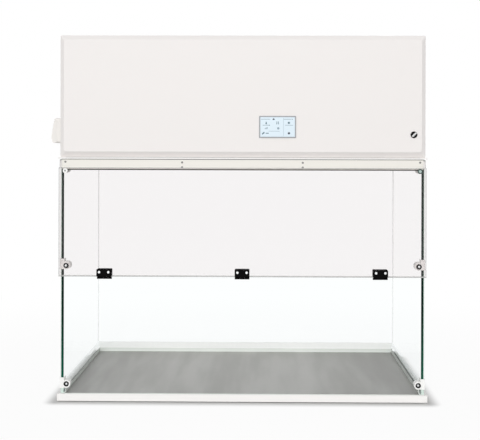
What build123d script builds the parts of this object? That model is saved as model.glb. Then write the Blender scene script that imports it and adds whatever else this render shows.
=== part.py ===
from build123d import *
import os

# Vertical laminar flow hood: a glass-walled work chamber on a flat base, with the fan
# and filter housing on top. A clear front pane hangs under the housing, and a clear
# flap on three hinges is folded up in front of it.
# Millimetres. +X is to the right, +Y to the back, +Z up. The origin is under the middle
# of the base, on the surface that the hood stands on.

os.makedirs("parts", exist_ok=True)

# --- Clearances ---
seat_gap = 0.3            # between pieces that stand against each other
small_round = 1 / 3       # rounding of a thin piece's edge, as a share of its thickness
running_gap = 0.05        # radial, round a pin or shaft that turns
end_gap = 0.3             # between hinge knuckles, along the pin
screw_gap = 0.05          # radial, round a screw in its hole
glass_hole_gap = 1.5      # radial, round a screw that passes through glass

# --- Base ---
base_width = 1212.0
base_depth = 640.0
base_height = 23.0
base_sheet = 2.0
base_flange = 50.0        # return flange under the skirt
base_corner_radius = 4.0
base_edge_radius = 1.5
rib_width = 60.0
rib_pitch = 300.0
foot_radius = 16.0
foot_height = 3.0
foot_inset = 28.0

# --- Worktop and the rails that hold the glass ---
worktop_thickness = 3.0
worktop_setback = 2.0
worktop_nose_radius = 1.2
upstand_height = 16.2     # above the base
upstand_sheet = 1.5
rail_thickness = 6.0
rail_height = 40.0
rail_edge_radius = 1.5

# --- Glass walls ---
side_glass_half_width = 596.0
side_glass_thickness = 10.0
glass_front = -308.0
glass_back = 300.0
back_glass_thickness = 8.0
chamber_height = 769.0    # from the base up to the ceiling plate
arris = 1.5

# --- Front pane and flap ---
pane_half_width = 598.0
pane_thickness = 6.0
pane_standoff = 3.0       # in front of the side glass
pane_top_gap = 2.0        # under the ceiling plate
pane_arris = 0.8

# --- Flap hinges ---
hinge_axis_z = 406.0
hinge_axis_offset = 4.5   # in front of the front pane
hinge_edge_gap = 5.5      # from the hinge axis to the edge of each pane
hinge_pitch = 450.0
hinge_width = 48.0
hinge_leaf_height = 30.0  # above the hinge axis
hinge_leaf_thickness = 2.2
hinge_corner_radius = 2.5
knuckle_radius = 3.2
knuckle_share = 16.0      # width of the middle knuckle
knuckle_clear = 0.8       # between a leaf's edge and the other leaf's knuckle
hinge_pin_radius = 1.5
hinge_screw_pitch = 30.0
hinge_screw_height = 20.3  # above the hinge axis
hinge_screw_head_radius = 4.2
hinge_screw_head_height = 1.8
hinge_screw_radius = 2.0
flap_reach = 361.0        # from the hinge axis to the flap's free edge

# --- Glass edge brackets ---
bracket_wall = 2.0
bracket_edge_radius = 1.0
bracket_depth = 23.0      # along the side glass
bracket_height = 34.0
boss_x = 577.0
boss_radius = 13.0
boss_rise = 12.5          # from the bracket's lower end to the middle of its boss
mid_bracket_z = 433.0
catch_bracket_z = 43.0
top_bracket_z = 765.0
top_bracket_height = 27.0
top_boss_radius = 8.0
top_boss_low_z = 757.5
washer_radius = 8.5
washer_thickness = 2.0
bracket_screw_head_radius = 4.0
bracket_screw_head_height = 2.2
bracket_screw_radius = 2.5
bracket_screw_length = 24.0
screw_dome = 0.6          # rounding of a screw head, as a share of its height
socket_share = 0.45       # hexagon socket, as a share of the head's radius
socket_sink = 0.6         # depth of the socket, as a share of the head's height
catch_screw_sink = 1.0    # of the screw head in the magnet's face
strike_clearance = 1.0    # round the strike, in the front wall of the catch bracket
magnet_thickness = 4.0
strike_radius = 8.0
strike_thickness = 2.0
strike_dimple_radius = 2.6

# --- Clamp strip at the top of the front pane ---
strip_half_width = 590.0
strip_height = 31.0
strip_thickness = 3.0
strip_screw_x = 197.0
strip_screw_low_rise = 6.0
strip_screw_high_rise = 22.0
strip_end_screw_x = 579.0
strip_end_screw_rise = 23.5
strip_screw_head_radius = 3.4
strip_screw_head_height = 1.5
strip_screw_radius = 2.0
strip_screw_length = 14.0

# --- Ceiling of the chamber ---
ceiling_thickness = 5.0
ceiling_half_width = 603.0
ceiling_front = -321.0
ceiling_back = 312.0
ceiling_corner_radius = 3.0
air_opening_width = 1100.0
air_opening_depth = 510.0
ceiling_bar_height = 22.0
ceiling_bar_thickness = 6.0
front_bar_half_width = 560.0
front_bar_height = 33.0
diffuser_width = 1130.0
diffuser_depth = 526.0
diffuser_sheet_thickness = 1.5
diffuser_hole_radius = 7.0
diffuser_hole_pitch = 30.0
diffuser_columns = 34
diffuser_rows = 16

# --- Lamps under the ceiling ---
lamp_half_length = 540.0
lamp_y = 274.0
batten_width = 20.0
batten_height = 11.0
lamp_holder_length = 12.0
lamp_holder_drop = 18.0
tube_radius = 8.0

# --- Fan and filter housing ---
housing_half_width = 598.0
housing_half_depth = 308.0
housing_height = 400.0
housing_sheet = 2.0
housing_flange = 15.0
inner_panel_depth = 10.0  # from the housing's front plane back to the inner front panel

# --- Filter ---
filter_side_gap = 4.0     # to the housing's side sheets
filter_end_gap = 6.85     # to the inner front panel and the back panel
filter_height = 69.0
filter_wall = 15.0
gasket_height = 3.0
gasket_width = 12.0
pleat_count = 48
pleat_height = 56.0
pleat_paper = 5.0         # upright thickness of the folded paper

# --- Fans ---
fan_pitch = 580.0
deck_height = 285.0       # above the ceiling plate
deck_sheet = 2.0
inlet_radius = 60.0
inlet_depth = 21.0
impeller_radius = 105.0
impeller_eye_radius = 66.0
impeller_plate = 3.0
blade_height = 55.0
blade_count = 7
blade_thickness = 2.5
blade_inner_radius = 70.0
blade_sweep = 28.0
blade_curve = 60.0
inlet_overlap = 4.0       # of the inlet in the impeller's eye
hub_radius = 16.0
motor_radius = 46.0
motor_height = 57.0
motor_edge_radius = 4.75
shaft_radius = 6.0
shaft_length = 40.0
hub_float = 3.0           # between the motor and the impeller's hub
fan_post_offset = 118.0
fan_post_width = 9.0
fan_foot_thickness = 3.0

# --- Air intake on the top ---
slot_length = 60.0
slot_width = 8.0
slot_pitch_x = 84.0
slot_pitch_y = 20.0
slot_columns = 10
slot_rows = 18
tray_width = 940.0
tray_depth = 400.0
tray_height = 26.0
tray_sheet = 1.5
tray_window = 84.0
tray_window_pitch = 102.0
tray_window_columns = 9
tray_window_rows = 3
prefilter_thickness = 22.0

# --- Front cover ---
cover_gap = 1.0           # above the ceiling plate
cover_rim = 2.0
cover_bevel_depth = 14.0
cover_side_bevel = 14.0
cover_top_bevel = 15.0
cover_bottom_bevel = 18.0
cover_sheet = 2.0
cover_corner_radius = 3.0
cover_face_radius = 9.0
cover_edge_radius = 3.0

# --- Display ---
display_x = 114.5
display_z = 900.3
display_width = 120.5
display_height = 72.0
display_bezel = 4.0
display_proud = 2.0
display_depth = 20.0
display_screen_thickness = 1.5
display_corner_radius = 2.0
display_wall = 2.0

# --- Main switch ---
switch_x = 558.0
switch_z = 876.0
switch_bezel_radius = 11.0
switch_bezel_height = 2.5
switch_neck_radius = 8.0
switch_block = 24.0
switch_block_depth = 16.0
knob_length = 18.0
knob_width = 5.0
knob_height = 7.0
knob_edge_radius = 0.8
knob_turn = -45.0         # of the bar from upright
spindle_radius = 3.0
spindle_length = 12.0

# --- Mains socket on the left side ---
socket_y = -246.0
socket_z = 888.6
socket_width = 76.0
socket_height = 82.0
socket_depth = 20.0
socket_corner_radius = 6.0
socket_recess_radius = 20.0
socket_recess_depth = 14.0
socket_pin_hole_radius = 2.6
socket_pin_pitch = 19.0
socket_pin_hole_depth = 4.0
lid_thickness = 2.0
lid_bulge_depth = 16.0
lid_bulge_height = 20.0   # from the lid's lower edge up to its fullest place
lid_lip_depth = 4.0
lid_round = 3.0
lid_pin_radius = 1.6
lid_knuckle_radius = 3.6
lid_knuckle_width = 50.0
lid_ear_width = 8.0
lid_axis_drop = 5.0       # of the hinge axis under the socket's top
lid_edge_clear = 1.0      # between the socket body's top edge and the knuckle

# --- Power inlet on the back ---
inlet_x = 500.0
inlet_height = 340.0      # above the ceiling plate
inlet_flange_width = 50.0
inlet_flange_height = 32.0
inlet_flange_thickness = 3.0
inlet_body_width = 30.0
inlet_body_height = 23.0
inlet_body_depth = 24.0
inlet_recess_width = 24.0
inlet_recess_height = 17.0
inlet_recess_depth = 18.0
inlet_pin_width = 4.0
inlet_pin_thickness = 2.0
inlet_pin_pitch = 7.0
inlet_pin_length = 12.6
inlet_side_pin_z = -1.75  # of the two outer pins, from the inlet's middle
inlet_mid_pin_z = 2.45    # of the earth pin, from the inlet's middle

# --- Control board ---
board_x = -220.0
board_z = 1050.0
board_width = 160.0
board_height = 100.0
board_thickness = 1.6
board_standoff = 5.0
board_standoff_radius = 3.0
board_standoff_inset = 8.0
board_block_height = 7.0
relay_block = (40.0, 33.0)
relay_place = (-40.0, 0.0)  # from the board's middle
chip_block = (27.0, 27.0)
chip_place = (32.0, 20.0)
plug_block = (53.0, 12.5)
plug_place = (32.0, -25.0)

# --- Places worked out from the sizes ---
base_top = foot_height + base_height
ceiling_z = base_top + chamber_height
housing_z = ceiling_z + ceiling_thickness
housing_top_z = housing_z + housing_height
side_glass_inner = side_glass_half_width - side_glass_thickness
back_glass_inner = glass_back - back_glass_thickness
rail_outer = side_glass_inner - seat_gap
rail_inner = rail_outer - rail_thickness
rear_rail_back = back_glass_inner - seat_gap
rear_rail_front = rear_rail_back - rail_thickness
worktop_half_width = rail_inner - seat_gap
worktop_back = rear_rail_front - seat_gap
worktop_front = -base_depth / 2 + worktop_setback
upstand_top = base_top + upstand_height
bracket_back = glass_front + bracket_depth
pane_back = glass_front - pane_standoff
pane_front = pane_back - pane_thickness
pane_top = ceiling_z - pane_top_gap
hinge_axis_y = pane_front - hinge_axis_offset
pane_bottom = hinge_axis_z + hinge_edge_gap
flap_back = 2 * hinge_axis_y - pane_front
flap_front = flap_back - pane_thickness
flap_top = hinge_axis_z + flap_reach
strip_back = pane_front - seat_gap
strip_front = strip_back - strip_thickness
strip_bottom = pane_top - strip_height
mid_boss_z = mid_bracket_z + boss_rise
catch_boss_z = catch_bracket_z + boss_rise
strike_z = 2 * hinge_axis_z - catch_boss_z
catch_face = pane_back + strike_thickness + seat_gap
housing_inner = housing_half_width - housing_sheet
back_panel_back = housing_half_depth - housing_sheet - seat_gap
back_panel_front = back_panel_back - housing_sheet
inner_panel_front = -housing_half_depth + inner_panel_depth
inner_panel_back = inner_panel_front + housing_sheet
middle_y = (inner_panel_back + back_panel_front) / 2
filter_width = 2 * (housing_inner - filter_side_gap)
filter_depth = back_panel_front - inner_panel_back - 2 * filter_end_gap
deck_z = housing_z + deck_height
cover_low_z = housing_z + cover_gap
cover_face_y = -housing_half_depth - cover_rim - cover_bevel_depth


def facing_front(y):
    """The plane at depth y that faces the front: its own x is X and its own y is Z."""
    return Plane.XZ.offset(-y)


def box_between(x, y, z, mode=Mode.ADD):
    """Add or cut a box that runs between the low and high values of x, y and z."""
    with Locations(((x[0] + x[1]) / 2, (y[0] + y[1]) / 2, (z[0] + z[1]) / 2)):
        Box(x[1] - x[0], y[1] - y[0], z[1] - z[0], mode=mode)


def on_side(side, inner, outer):
    """Low and high X between two distances from the middle, on one side of the hood."""
    return min(side * inner, side * outer), max(side * inner, side * outer)


def holes_at(points, radius, y, depth):
    """Cut round holes that start at depth y and run towards the back."""
    with BuildSketch(facing_front(y)) as holes:
        with Locations(*points):
            Circle(radius)
    extrude(holes.sketch, amount=-depth, mode=Mode.SUBTRACT)


def button_screw(head_radius, head_height, shank_radius, shank_length):
    """A socket screw along Y, with the underside of its domed head at the origin."""
    with BuildPart() as screw:
        with BuildSketch(facing_front(0)):
            Circle(head_radius)
        extrude(amount=head_height)
        fillet(screw.edges().group_by(Axis.Y)[0], head_height * screw_dome)
        with BuildSketch(facing_front(-head_height)):
            RegularPolygon(head_radius * socket_share, 6)
        extrude(amount=-head_height * socket_sink, mode=Mode.SUBTRACT)
        with BuildSketch(facing_front(0)):
            Circle(shank_radius)
        extrude(amount=-shank_length)
    return screw.part


# ---------------------------------------------------------------- base

with BuildPart() as base_tray:
    with BuildSketch(Plane.XY.offset(foot_height)):
        RectangleRounded(base_width, base_depth, base_corner_radius)
    extrude(amount=base_height)
    fillet(base_tray.edges().group_by(Axis.Z)[-1], base_edge_radius)
    with BuildSketch(Plane.XY.offset(foot_height + base_sheet)):
        Rectangle(base_width - 2 * base_sheet, base_depth - 2 * base_sheet)
    extrude(amount=base_height - 2 * base_sheet, mode=Mode.SUBTRACT)
    with BuildSketch(Plane.XY.offset(foot_height)):
        Rectangle(base_width - 2 * base_flange, base_depth - 2 * base_flange)
    extrude(amount=base_sheet, mode=Mode.SUBTRACT)
    with BuildSketch(Plane.XY.offset(foot_height)):
        with GridLocations(rib_pitch, 0, 3, 1):
            Rectangle(rib_width, base_depth - 2 * base_sheet)
    extrude(amount=base_height - base_sheet)
    with BuildSketch(Plane.XY.offset(foot_height + base_sheet)):
        with GridLocations(rib_pitch, 0, 3, 1):
            Rectangle(rib_width - 2 * base_sheet, base_depth - 2 * base_sheet)
    extrude(amount=base_height - 2 * base_sheet, mode=Mode.SUBTRACT)
base_tray.part.label = "base_tray"
export_step(base_tray.part, "parts/base_tray.step")

with BuildPart() as base_feet:
    with BuildSketch(Plane.XY):
        with GridLocations(base_width - 2 * foot_inset, base_depth - 2 * foot_inset, 2, 2):
            Circle(foot_radius)
        Circle(foot_radius)
    extrude(amount=foot_height)
base_feet.part.label = "base_feet"
export_step(base_feet.part, "parts/base_feet.step")

# ---------------------------------------------------------------- worktop and rails

with BuildPart() as worktop:
    worktop_x = (-worktop_half_width, worktop_half_width)
    worktop_top = base_top + worktop_thickness
    box_between(worktop_x, (worktop_front, worktop_back), (base_top, worktop_top))
    fillet(worktop.edges().filter_by(Axis.X).group_by(Axis.Y)[0], worktop_nose_radius)
    back_wall = (worktop_back - upstand_sheet, worktop_back)
    box_between(worktop_x, back_wall, (base_top, upstand_top))
    for side in (-1, 1):
        wall = on_side(side, worktop_half_width - upstand_sheet, worktop_half_width)
        box_between(wall, (glass_front, worktop_back), (base_top, upstand_top))
worktop.part.label = "worktop"
export_step(worktop.part, "parts/worktop.step")

for side, name in ((-1, "left_glass_rail"), (1, "right_glass_rail")):
    with BuildPart() as side_rail:
        rail_x = on_side(side, rail_inner, rail_outer)
        box_between(rail_x, (glass_front, rear_rail_back), (base_top, base_top + rail_height))
        box_between(
            rail_x,
            (glass_front, bracket_back + seat_gap),
            (upstand_top, base_top + rail_height),
            mode=Mode.SUBTRACT,
        )
        fillet(side_rail.edges().filter_by(Axis.Y).group_by(Axis.Z)[-1], rail_edge_radius)
    side_rail.part.label = name
    export_step(side_rail.part, f"parts/{name}.step")

with BuildPart() as rear_glass_rail:
    rear_rail_x = (seat_gap - rail_inner, rail_inner - seat_gap)
    rear_rail_y = (rear_rail_front, rear_rail_back)
    box_between(rear_rail_x, rear_rail_y, (base_top, base_top + rail_height))
    fillet(rear_glass_rail.edges().filter_by(Axis.X).group_by(Axis.Z)[-1], rail_edge_radius)
rear_glass_rail.part.label = "rear_glass_rail"
export_step(rear_glass_rail.part, "parts/rear_glass_rail.step")

# ---------------------------------------------------------------- glass walls

glass_z = (base_top + seat_gap, ceiling_z - seat_gap)

for side, name in ((-1, "left_side_glass"), (1, "right_side_glass")):
    with BuildPart() as side_glass:
        glass_x = on_side(side, side_glass_inner, side_glass_half_width)
        box_between(glass_x, (glass_front, glass_back), glass_z)
        chamfer(side_glass.edges().filter_by(Axis.Z), arris)
    side_glass.part.label = name
    export_step(side_glass.part, f"parts/{name}.step")

with BuildPart() as back_glass:
    back_glass_x = (seat_gap - side_glass_inner, side_glass_inner - seat_gap)
    box_between(back_glass_x, (back_glass_inner, glass_back), glass_z)
back_glass.part.label = "back_glass"
export_step(back_glass.part, "parts/back_glass.step")

# ---------------------------------------------------------------- front pane and flap

hinge_places = [-hinge_pitch, 0.0, hinge_pitch]
hinge_screw_x = [x + s * hinge_screw_pitch / 2 for x in hinge_places for s in (-1, 1)]
hinge_screw_z = hinge_axis_z + hinge_screw_height
strip_pair_z = [strip_bottom + strip_screw_low_rise, strip_bottom + strip_screw_high_rise]
strip_pair_points = [(s * strip_screw_x, z) for s in (-1, 1) for z in strip_pair_z]
strip_end_z = strip_bottom + strip_end_screw_rise
strip_end_points = [(s * strip_end_screw_x, strip_end_z) for s in (-1, 1)]
strip_screw_points = strip_pair_points + strip_end_points
hinge_screw_points = [(x, hinge_screw_z) for x in hinge_screw_x]
mid_boss_points = [(s * boss_x, mid_boss_z) for s in (-1, 1)]

with BuildPart() as upper_front_pane:
    pane_x = (-pane_half_width, pane_half_width)
    box_between(pane_x, (pane_front, pane_back), (pane_bottom, pane_top))
    chamfer(upper_front_pane.edges().filter_by(Axis.X), pane_arris)
    holes_at(hinge_screw_points, hinge_screw_radius + glass_hole_gap, pane_front, pane_thickness)
    holes_at(strip_screw_points, strip_screw_radius + glass_hole_gap, pane_front, pane_thickness)
    holes_at(mid_boss_points, bracket_screw_radius + glass_hole_gap, pane_front, pane_thickness)
upper_front_pane.part.label = "upper_front_pane"
export_step(upper_front_pane.part, "parts/upper_front_pane.step")

with BuildPart() as front_flap:
    box_between(pane_x, (flap_front, flap_back), (pane_bottom, flap_top))
    chamfer(front_flap.edges().filter_by(Axis.X), pane_arris)
    holes_at(hinge_screw_points, hinge_screw_radius + glass_hole_gap, flap_front, pane_thickness)
front_flap.part.label = "front_flap"
export_step(front_flap.part, "parts/front_flap.step")

# ---------------------------------------------------------------- flap hinges

leaf_z = (hinge_axis_z, hinge_axis_z + hinge_leaf_height)
leaf_cut_z = (hinge_axis_z - knuckle_radius, hinge_axis_z + knuckle_radius + knuckle_clear)
plate_z = (pane_bottom + seat_gap, hinge_axis_z + hinge_leaf_height)
middle_knuckle = (-knuckle_share / 2, knuckle_share / 2)
end_knuckles = [
    (-hinge_width / 2, -knuckle_share / 2 - end_gap),
    (knuckle_share / 2 + end_gap, hinge_width / 2),
]


def hinge_leaf(x, leaf_y, own_knuckles, other_knuckles):
    """One leaf of a flap hinge: a plate on the glass, its knuckles and its screw holes."""
    with BuildPart() as leaf:
        box_between((x - hinge_width / 2, x + hinge_width / 2), leaf_y, leaf_z)
        fillet(leaf.edges().filter_by(Axis.Y).group_by(Axis.Z)[-1], hinge_corner_radius)
        for low, high in other_knuckles:
            cut_x = (x + low - end_gap, x + high + end_gap)
            box_between(cut_x, leaf_y, leaf_cut_z, mode=Mode.SUBTRACT)
        for low, high in own_knuckles:
            with BuildSketch(Plane.YZ.offset(x + low)):
                with Locations((hinge_axis_y, hinge_axis_z)):
                    Circle(knuckle_radius)
            extrude(amount=high - low)
            with BuildSketch(Plane.YZ.offset(x + low)):
                with Locations((hinge_axis_y, hinge_axis_z)):
                    Circle(hinge_pin_radius + running_gap)
            extrude(amount=high - low, mode=Mode.SUBTRACT)
        points = [(x + s * hinge_screw_pitch / 2, hinge_screw_z) for s in (-1, 1)]
        holes_at(points, hinge_screw_radius + screw_gap, leaf_y[0], hinge_leaf_thickness)
    return leaf


fixed_leaf_y = (pane_front - seat_gap - hinge_leaf_thickness, pane_front - seat_gap)
flap_leaf_y = (flap_back + seat_gap, flap_back + seat_gap + hinge_leaf_thickness)

for place, x in zip(("left", "centre", "right"), hinge_places):
    fixed_leaf = hinge_leaf(x, fixed_leaf_y, end_knuckles, [middle_knuckle])
    fixed_leaf.part.label = f"{place}_hinge_fixed_leaf"
    export_step(fixed_leaf.part, f"parts/{place}_hinge_fixed_leaf.step")
    flap_leaf = hinge_leaf(x, flap_leaf_y, [middle_knuckle], end_knuckles)
    flap_leaf.part.label = f"{place}_hinge_flap_leaf"
    export_step(flap_leaf.part, f"parts/{place}_hinge_flap_leaf.step")

with BuildPart() as hinge_pins:
    for x in hinge_places:
        with BuildSketch(Plane.YZ.offset(x - hinge_width / 2)):
            with Locations((hinge_axis_y, hinge_axis_z)):
                Circle(hinge_pin_radius)
        extrude(amount=hinge_width)
hinge_pins.part.label = "hinge_pins"
export_step(hinge_pins.part, "parts/hinge_pins.step")


def hinge_plates(plate_front):
    """The three outer plates that clamp the glass against one set of hinge leaves."""
    with BuildPart() as plates:
        plate_y = (plate_front, plate_front + hinge_leaf_thickness)
        for x in hinge_places:
            box_between((x - hinge_width / 2, x + hinge_width / 2), plate_y, plate_z)
        fillet(plates.edges().filter_by(Axis.Y), hinge_corner_radius)
        holes_at(hinge_screw_points, hinge_screw_radius + screw_gap, plate_front, hinge_leaf_thickness)
    return plates


fixed_hinge_plates = hinge_plates(pane_back + seat_gap)
fixed_hinge_plates.part.label = "fixed_hinge_plates"
export_step(fixed_hinge_plates.part, "parts/fixed_hinge_plates.step")

flap_hinge_plates = hinge_plates(flap_front - seat_gap - hinge_leaf_thickness)
flap_hinge_plates.part.label = "flap_hinge_plates"
export_step(flap_hinge_plates.part, "parts/flap_hinge_plates.step")

hinge_screw_length = 2 * hinge_leaf_thickness + pane_thickness + 2 * seat_gap
hinge_screw = button_screw(
    hinge_screw_head_radius, hinge_screw_head_height, hinge_screw_radius, hinge_screw_length
)

with BuildPart() as flap_hinge_screws:
    screw_seat_y = flap_front - seat_gap - hinge_leaf_thickness
    with Locations(*[(x, screw_seat_y, hinge_screw_z) for x in hinge_screw_x]):
        add(hinge_screw)
flap_hinge_screws.part.label = "flap_hinge_screws"
export_step(flap_hinge_screws.part, "parts/flap_hinge_screws.step")

with BuildPart() as fixed_hinge_screws:
    screw_seat_y = pane_back + seat_gap + hinge_leaf_thickness
    with Locations(*[(x, screw_seat_y, hinge_screw_z) for x in hinge_screw_x]):
        add(hinge_screw, rotation=(0, 0, 180))
fixed_hinge_screws.part.label = "fixed_hinge_screws"
export_step(fixed_hinge_screws.part, "parts/fixed_hinge_screws.step")

# ---------------------------------------------------------------- glass edge brackets

bracket_outer_x = side_glass_half_width + seat_gap + bracket_wall
bracket_inner_x = side_glass_inner - seat_gap - bracket_wall
bracket_front = glass_front - seat_gap - bracket_wall
glass_slot_x = (side_glass_inner - seat_gap, side_glass_half_width + seat_gap)


def edge_brackets(low_z, height, boss_front, boss_z, radius):
    """A right and a left bracket: a channel on the glass edge and a boss that faces the front."""
    with BuildPart() as brackets:
        bracket_z = (low_z, low_z + height)
        box_between((bracket_inner_x, bracket_outer_x), (bracket_front, bracket_back), bracket_z)
        fillet(brackets.edges().filter_by(Axis.Z), bracket_edge_radius)
        with BuildSketch(facing_front(boss_front)):
            with Locations(*[(boss_x, z) for z in boss_z]):
                Circle(radius)
            if len(boss_z) > 1:
                with Locations((boss_x, sum(boss_z) / len(boss_z))):
                    Rectangle(2 * radius, boss_z[-1] - boss_z[0])
        extrude(amount=boss_front - bracket_back)
        slot_z = (low_z - radius, low_z + height + radius)
        box_between(glass_slot_x, (glass_front - seat_gap, bracket_back), slot_z, mode=Mode.SUBTRACT)
    return brackets


def bracket_holes(points, radius, face, depth):
    """Cut the same round holes on both sides of the hood, from a bracket's face."""
    holes_at([(s * boss_x, z) for s in (-1, 1) for z in points], radius, face, depth)


bracket_bore = bracket_screw_radius + screw_gap
boss_length = bracket_back - pane_back - seat_gap

with BuildPart() as top_brackets:
    top_boss_z = [top_boss_low_z, strip_end_z]
    boss_face = pane_back + seat_gap
    add(edge_brackets(top_bracket_z, top_bracket_height, boss_face, top_boss_z, top_boss_radius).part)
    mirror(about=Plane.YZ)
    holes_at(strip_end_points, strip_screw_radius + screw_gap, boss_face, strip_screw_length)
top_brackets.part.label = "top_brackets"
export_step(top_brackets.part, "parts/top_brackets.step")

with BuildPart() as mid_brackets:
    boss_face = pane_back + seat_gap
    add(edge_brackets(mid_bracket_z, bracket_height, boss_face, [mid_boss_z], boss_radius).part)
    mirror(about=Plane.YZ)
    bracket_holes([mid_boss_z], bracket_bore, boss_face, boss_length)
mid_brackets.part.label = "mid_brackets"
export_step(mid_brackets.part, "parts/mid_brackets.step")

with BuildPart() as catch_brackets:
    add(edge_brackets(catch_bracket_z, bracket_height, catch_face, [catch_boss_z], boss_radius).part)
    mirror(about=Plane.YZ)
    strike_room = catch_face - bracket_front
    bracket_holes([catch_boss_z], strike_radius + strike_clearance, bracket_front, strike_room)
    bracket_holes([catch_boss_z], washer_radius + seat_gap, catch_face, magnet_thickness)
    bracket_holes([catch_boss_z], bracket_bore, catch_face, bracket_back - catch_face)
catch_brackets.part.label = "catch_brackets"
export_step(catch_brackets.part, "parts/catch_brackets.step")

with BuildPart() as pane_washers:
    with BuildSketch(facing_front(pane_front)):
        with Locations(*mid_boss_points):
            Circle(washer_radius)
            Circle(bracket_bore, mode=Mode.SUBTRACT)
    extrude(amount=washer_thickness)
    fillet(pane_washers.edges().group_by(Axis.Y)[0], washer_thickness * small_round)
pane_washers.part.label = "pane_washers"
export_step(pane_washers.part, "parts/pane_washers.step")

catch_screw_y = catch_face + bracket_screw_head_height + catch_screw_sink

with BuildPart() as catch_magnets:
    with BuildSketch(facing_front(catch_face)):
        with Locations(*[(s * boss_x, catch_boss_z) for s in (-1, 1)]):
            Circle(washer_radius)
    extrude(amount=-magnet_thickness)
    bracket_holes([catch_boss_z], bracket_bore, catch_face, magnet_thickness)
    head_bore = bracket_screw_head_radius + seat_gap
    bracket_holes([catch_boss_z], head_bore, catch_face, catch_screw_y - catch_face)
catch_magnets.part.label = "catch_magnets"
export_step(catch_magnets.part, "parts/catch_magnets.step")

bracket_screw = button_screw(
    bracket_screw_head_radius,
    bracket_screw_head_height,
    bracket_screw_radius,
    bracket_screw_length,
)
catch_screw = button_screw(
    bracket_screw_head_radius,
    bracket_screw_head_height,
    bracket_screw_radius,
    bracket_back - catch_screw_y,
)

with BuildPart() as bracket_screws:
    with Locations(*[(x, pane_front - washer_thickness, z) for x, z in mid_boss_points]):
        add(bracket_screw)
    with Locations(*[(s * boss_x, catch_screw_y, catch_boss_z) for s in (-1, 1)]):
        add(catch_screw)
bracket_screws.part.label = "bracket_screws"
export_step(bracket_screws.part, "parts/bracket_screws.step")

with BuildPart() as flap_strikes:
    strike_points = [(s * boss_x, strike_z) for s in (-1, 1)]
    with BuildSketch(facing_front(flap_front)):
        with Locations(*strike_points):
            Circle(strike_radius)
    extrude(amount=strike_thickness)
    fillet(flap_strikes.edges().group_by(Axis.Y)[0], strike_thickness * small_round)
    holes_at(strike_points, strike_dimple_radius, flap_front - strike_thickness, strike_thickness / 2)
flap_strikes.part.label = "flap_strikes"
export_step(flap_strikes.part, "parts/flap_strikes.step")

# ---------------------------------------------------------------- clamp strip

with BuildPart() as clamp_strip:
    strip_x = (-strip_half_width, strip_half_width)
    box_between(strip_x, (strip_front, strip_back), (strip_bottom, pane_top))
    fillet(clamp_strip.edges().filter_by(Axis.X).group_by(Axis.Y)[0], strip_thickness * small_round)
    holes_at(strip_screw_points, strip_screw_radius + screw_gap, strip_front, strip_thickness)
clamp_strip.part.label = "clamp_strip"
export_step(clamp_strip.part, "parts/clamp_strip.step")

strip_screw = button_screw(
    strip_screw_head_radius, strip_screw_head_height, strip_screw_radius, strip_screw_length
)

with BuildPart() as strip_screws:
    with Locations(*[(x, strip_front, z) for x, z in strip_screw_points]):
        add(strip_screw)
strip_screws.part.label = "strip_screws"
export_step(strip_screws.part, "parts/strip_screws.step")

# ---------------------------------------------------------------- ceiling of the chamber

with BuildPart() as ceiling_plate:
    ceiling_middle_y = (ceiling_front + ceiling_back) / 2
    with BuildSketch(Plane.XY.offset(ceiling_z)):
        with Locations((0, ceiling_middle_y)):
            RectangleRounded(2 * ceiling_half_width, ceiling_back - ceiling_front, ceiling_corner_radius)
        Rectangle(air_opening_width, air_opening_depth, mode=Mode.SUBTRACT)
    extrude(amount=ceiling_thickness)
ceiling_plate.part.label = "ceiling_plate"
export_step(ceiling_plate.part, "parts/ceiling_plate.step")

with BuildPart() as ceiling_bars:
    bar_z = (ceiling_z - ceiling_bar_height, ceiling_z)
    bar_inner = rail_outer - ceiling_bar_thickness
    for side in (-1, 1):
        side_bar_y = (bracket_back + seat_gap, rear_rail_back)
        box_between(on_side(side, bar_inner, rail_outer), side_bar_y, bar_z)
    rear_bar_y = (rear_rail_back - ceiling_bar_thickness, rear_rail_back)
    box_between((seat_gap - bar_inner, bar_inner - seat_gap), rear_bar_y, bar_z)
    front_bar_y = (pane_back + seat_gap, pane_back + seat_gap + ceiling_bar_thickness)
    front_bar_x = (-front_bar_half_width, front_bar_half_width)
    box_between(front_bar_x, front_bar_y, (ceiling_z - front_bar_height, ceiling_z))
    bore = strip_screw_radius + screw_gap
    holes_at(strip_pair_points, bore, front_bar_y[0], ceiling_bar_thickness)
ceiling_bars.part.label = "ceiling_bars"
export_step(ceiling_bars.part, "parts/ceiling_bars.step")

with BuildPart() as diffuser_sheet:
    with BuildSketch(Plane.XY.offset(ceiling_z)):
        Rectangle(diffuser_width, diffuser_depth)
        with GridLocations(diffuser_hole_pitch, diffuser_hole_pitch, diffuser_columns, diffuser_rows):
            Circle(diffuser_hole_radius, mode=Mode.SUBTRACT)
    extrude(amount=-diffuser_sheet_thickness)
diffuser_sheet.part.label = "diffuser_sheet"
export_step(diffuser_sheet.part, "parts/diffuser_sheet.step")

# ---------------------------------------------------------------- lamps

tube_z = ceiling_z - batten_height - lamp_holder_drop / 2

with BuildPart() as lamp_battens:
    for y in (-lamp_y, lamp_y):
        batten_y = (y - batten_width / 2, y + batten_width / 2)
        batten_x = (-lamp_half_length, lamp_half_length)
        box_between(batten_x, batten_y, (ceiling_z - batten_height, ceiling_z))
        for side in (-1, 1):
            holder_x = on_side(side, lamp_half_length - lamp_holder_length, lamp_half_length)
            holder_z = (ceiling_z - batten_height - lamp_holder_drop, ceiling_z - batten_height)
            box_between(holder_x, batten_y, holder_z)
lamp_battens.part.label = "lamp_battens"
export_step(lamp_battens.part, "parts/lamp_battens.step")

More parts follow.
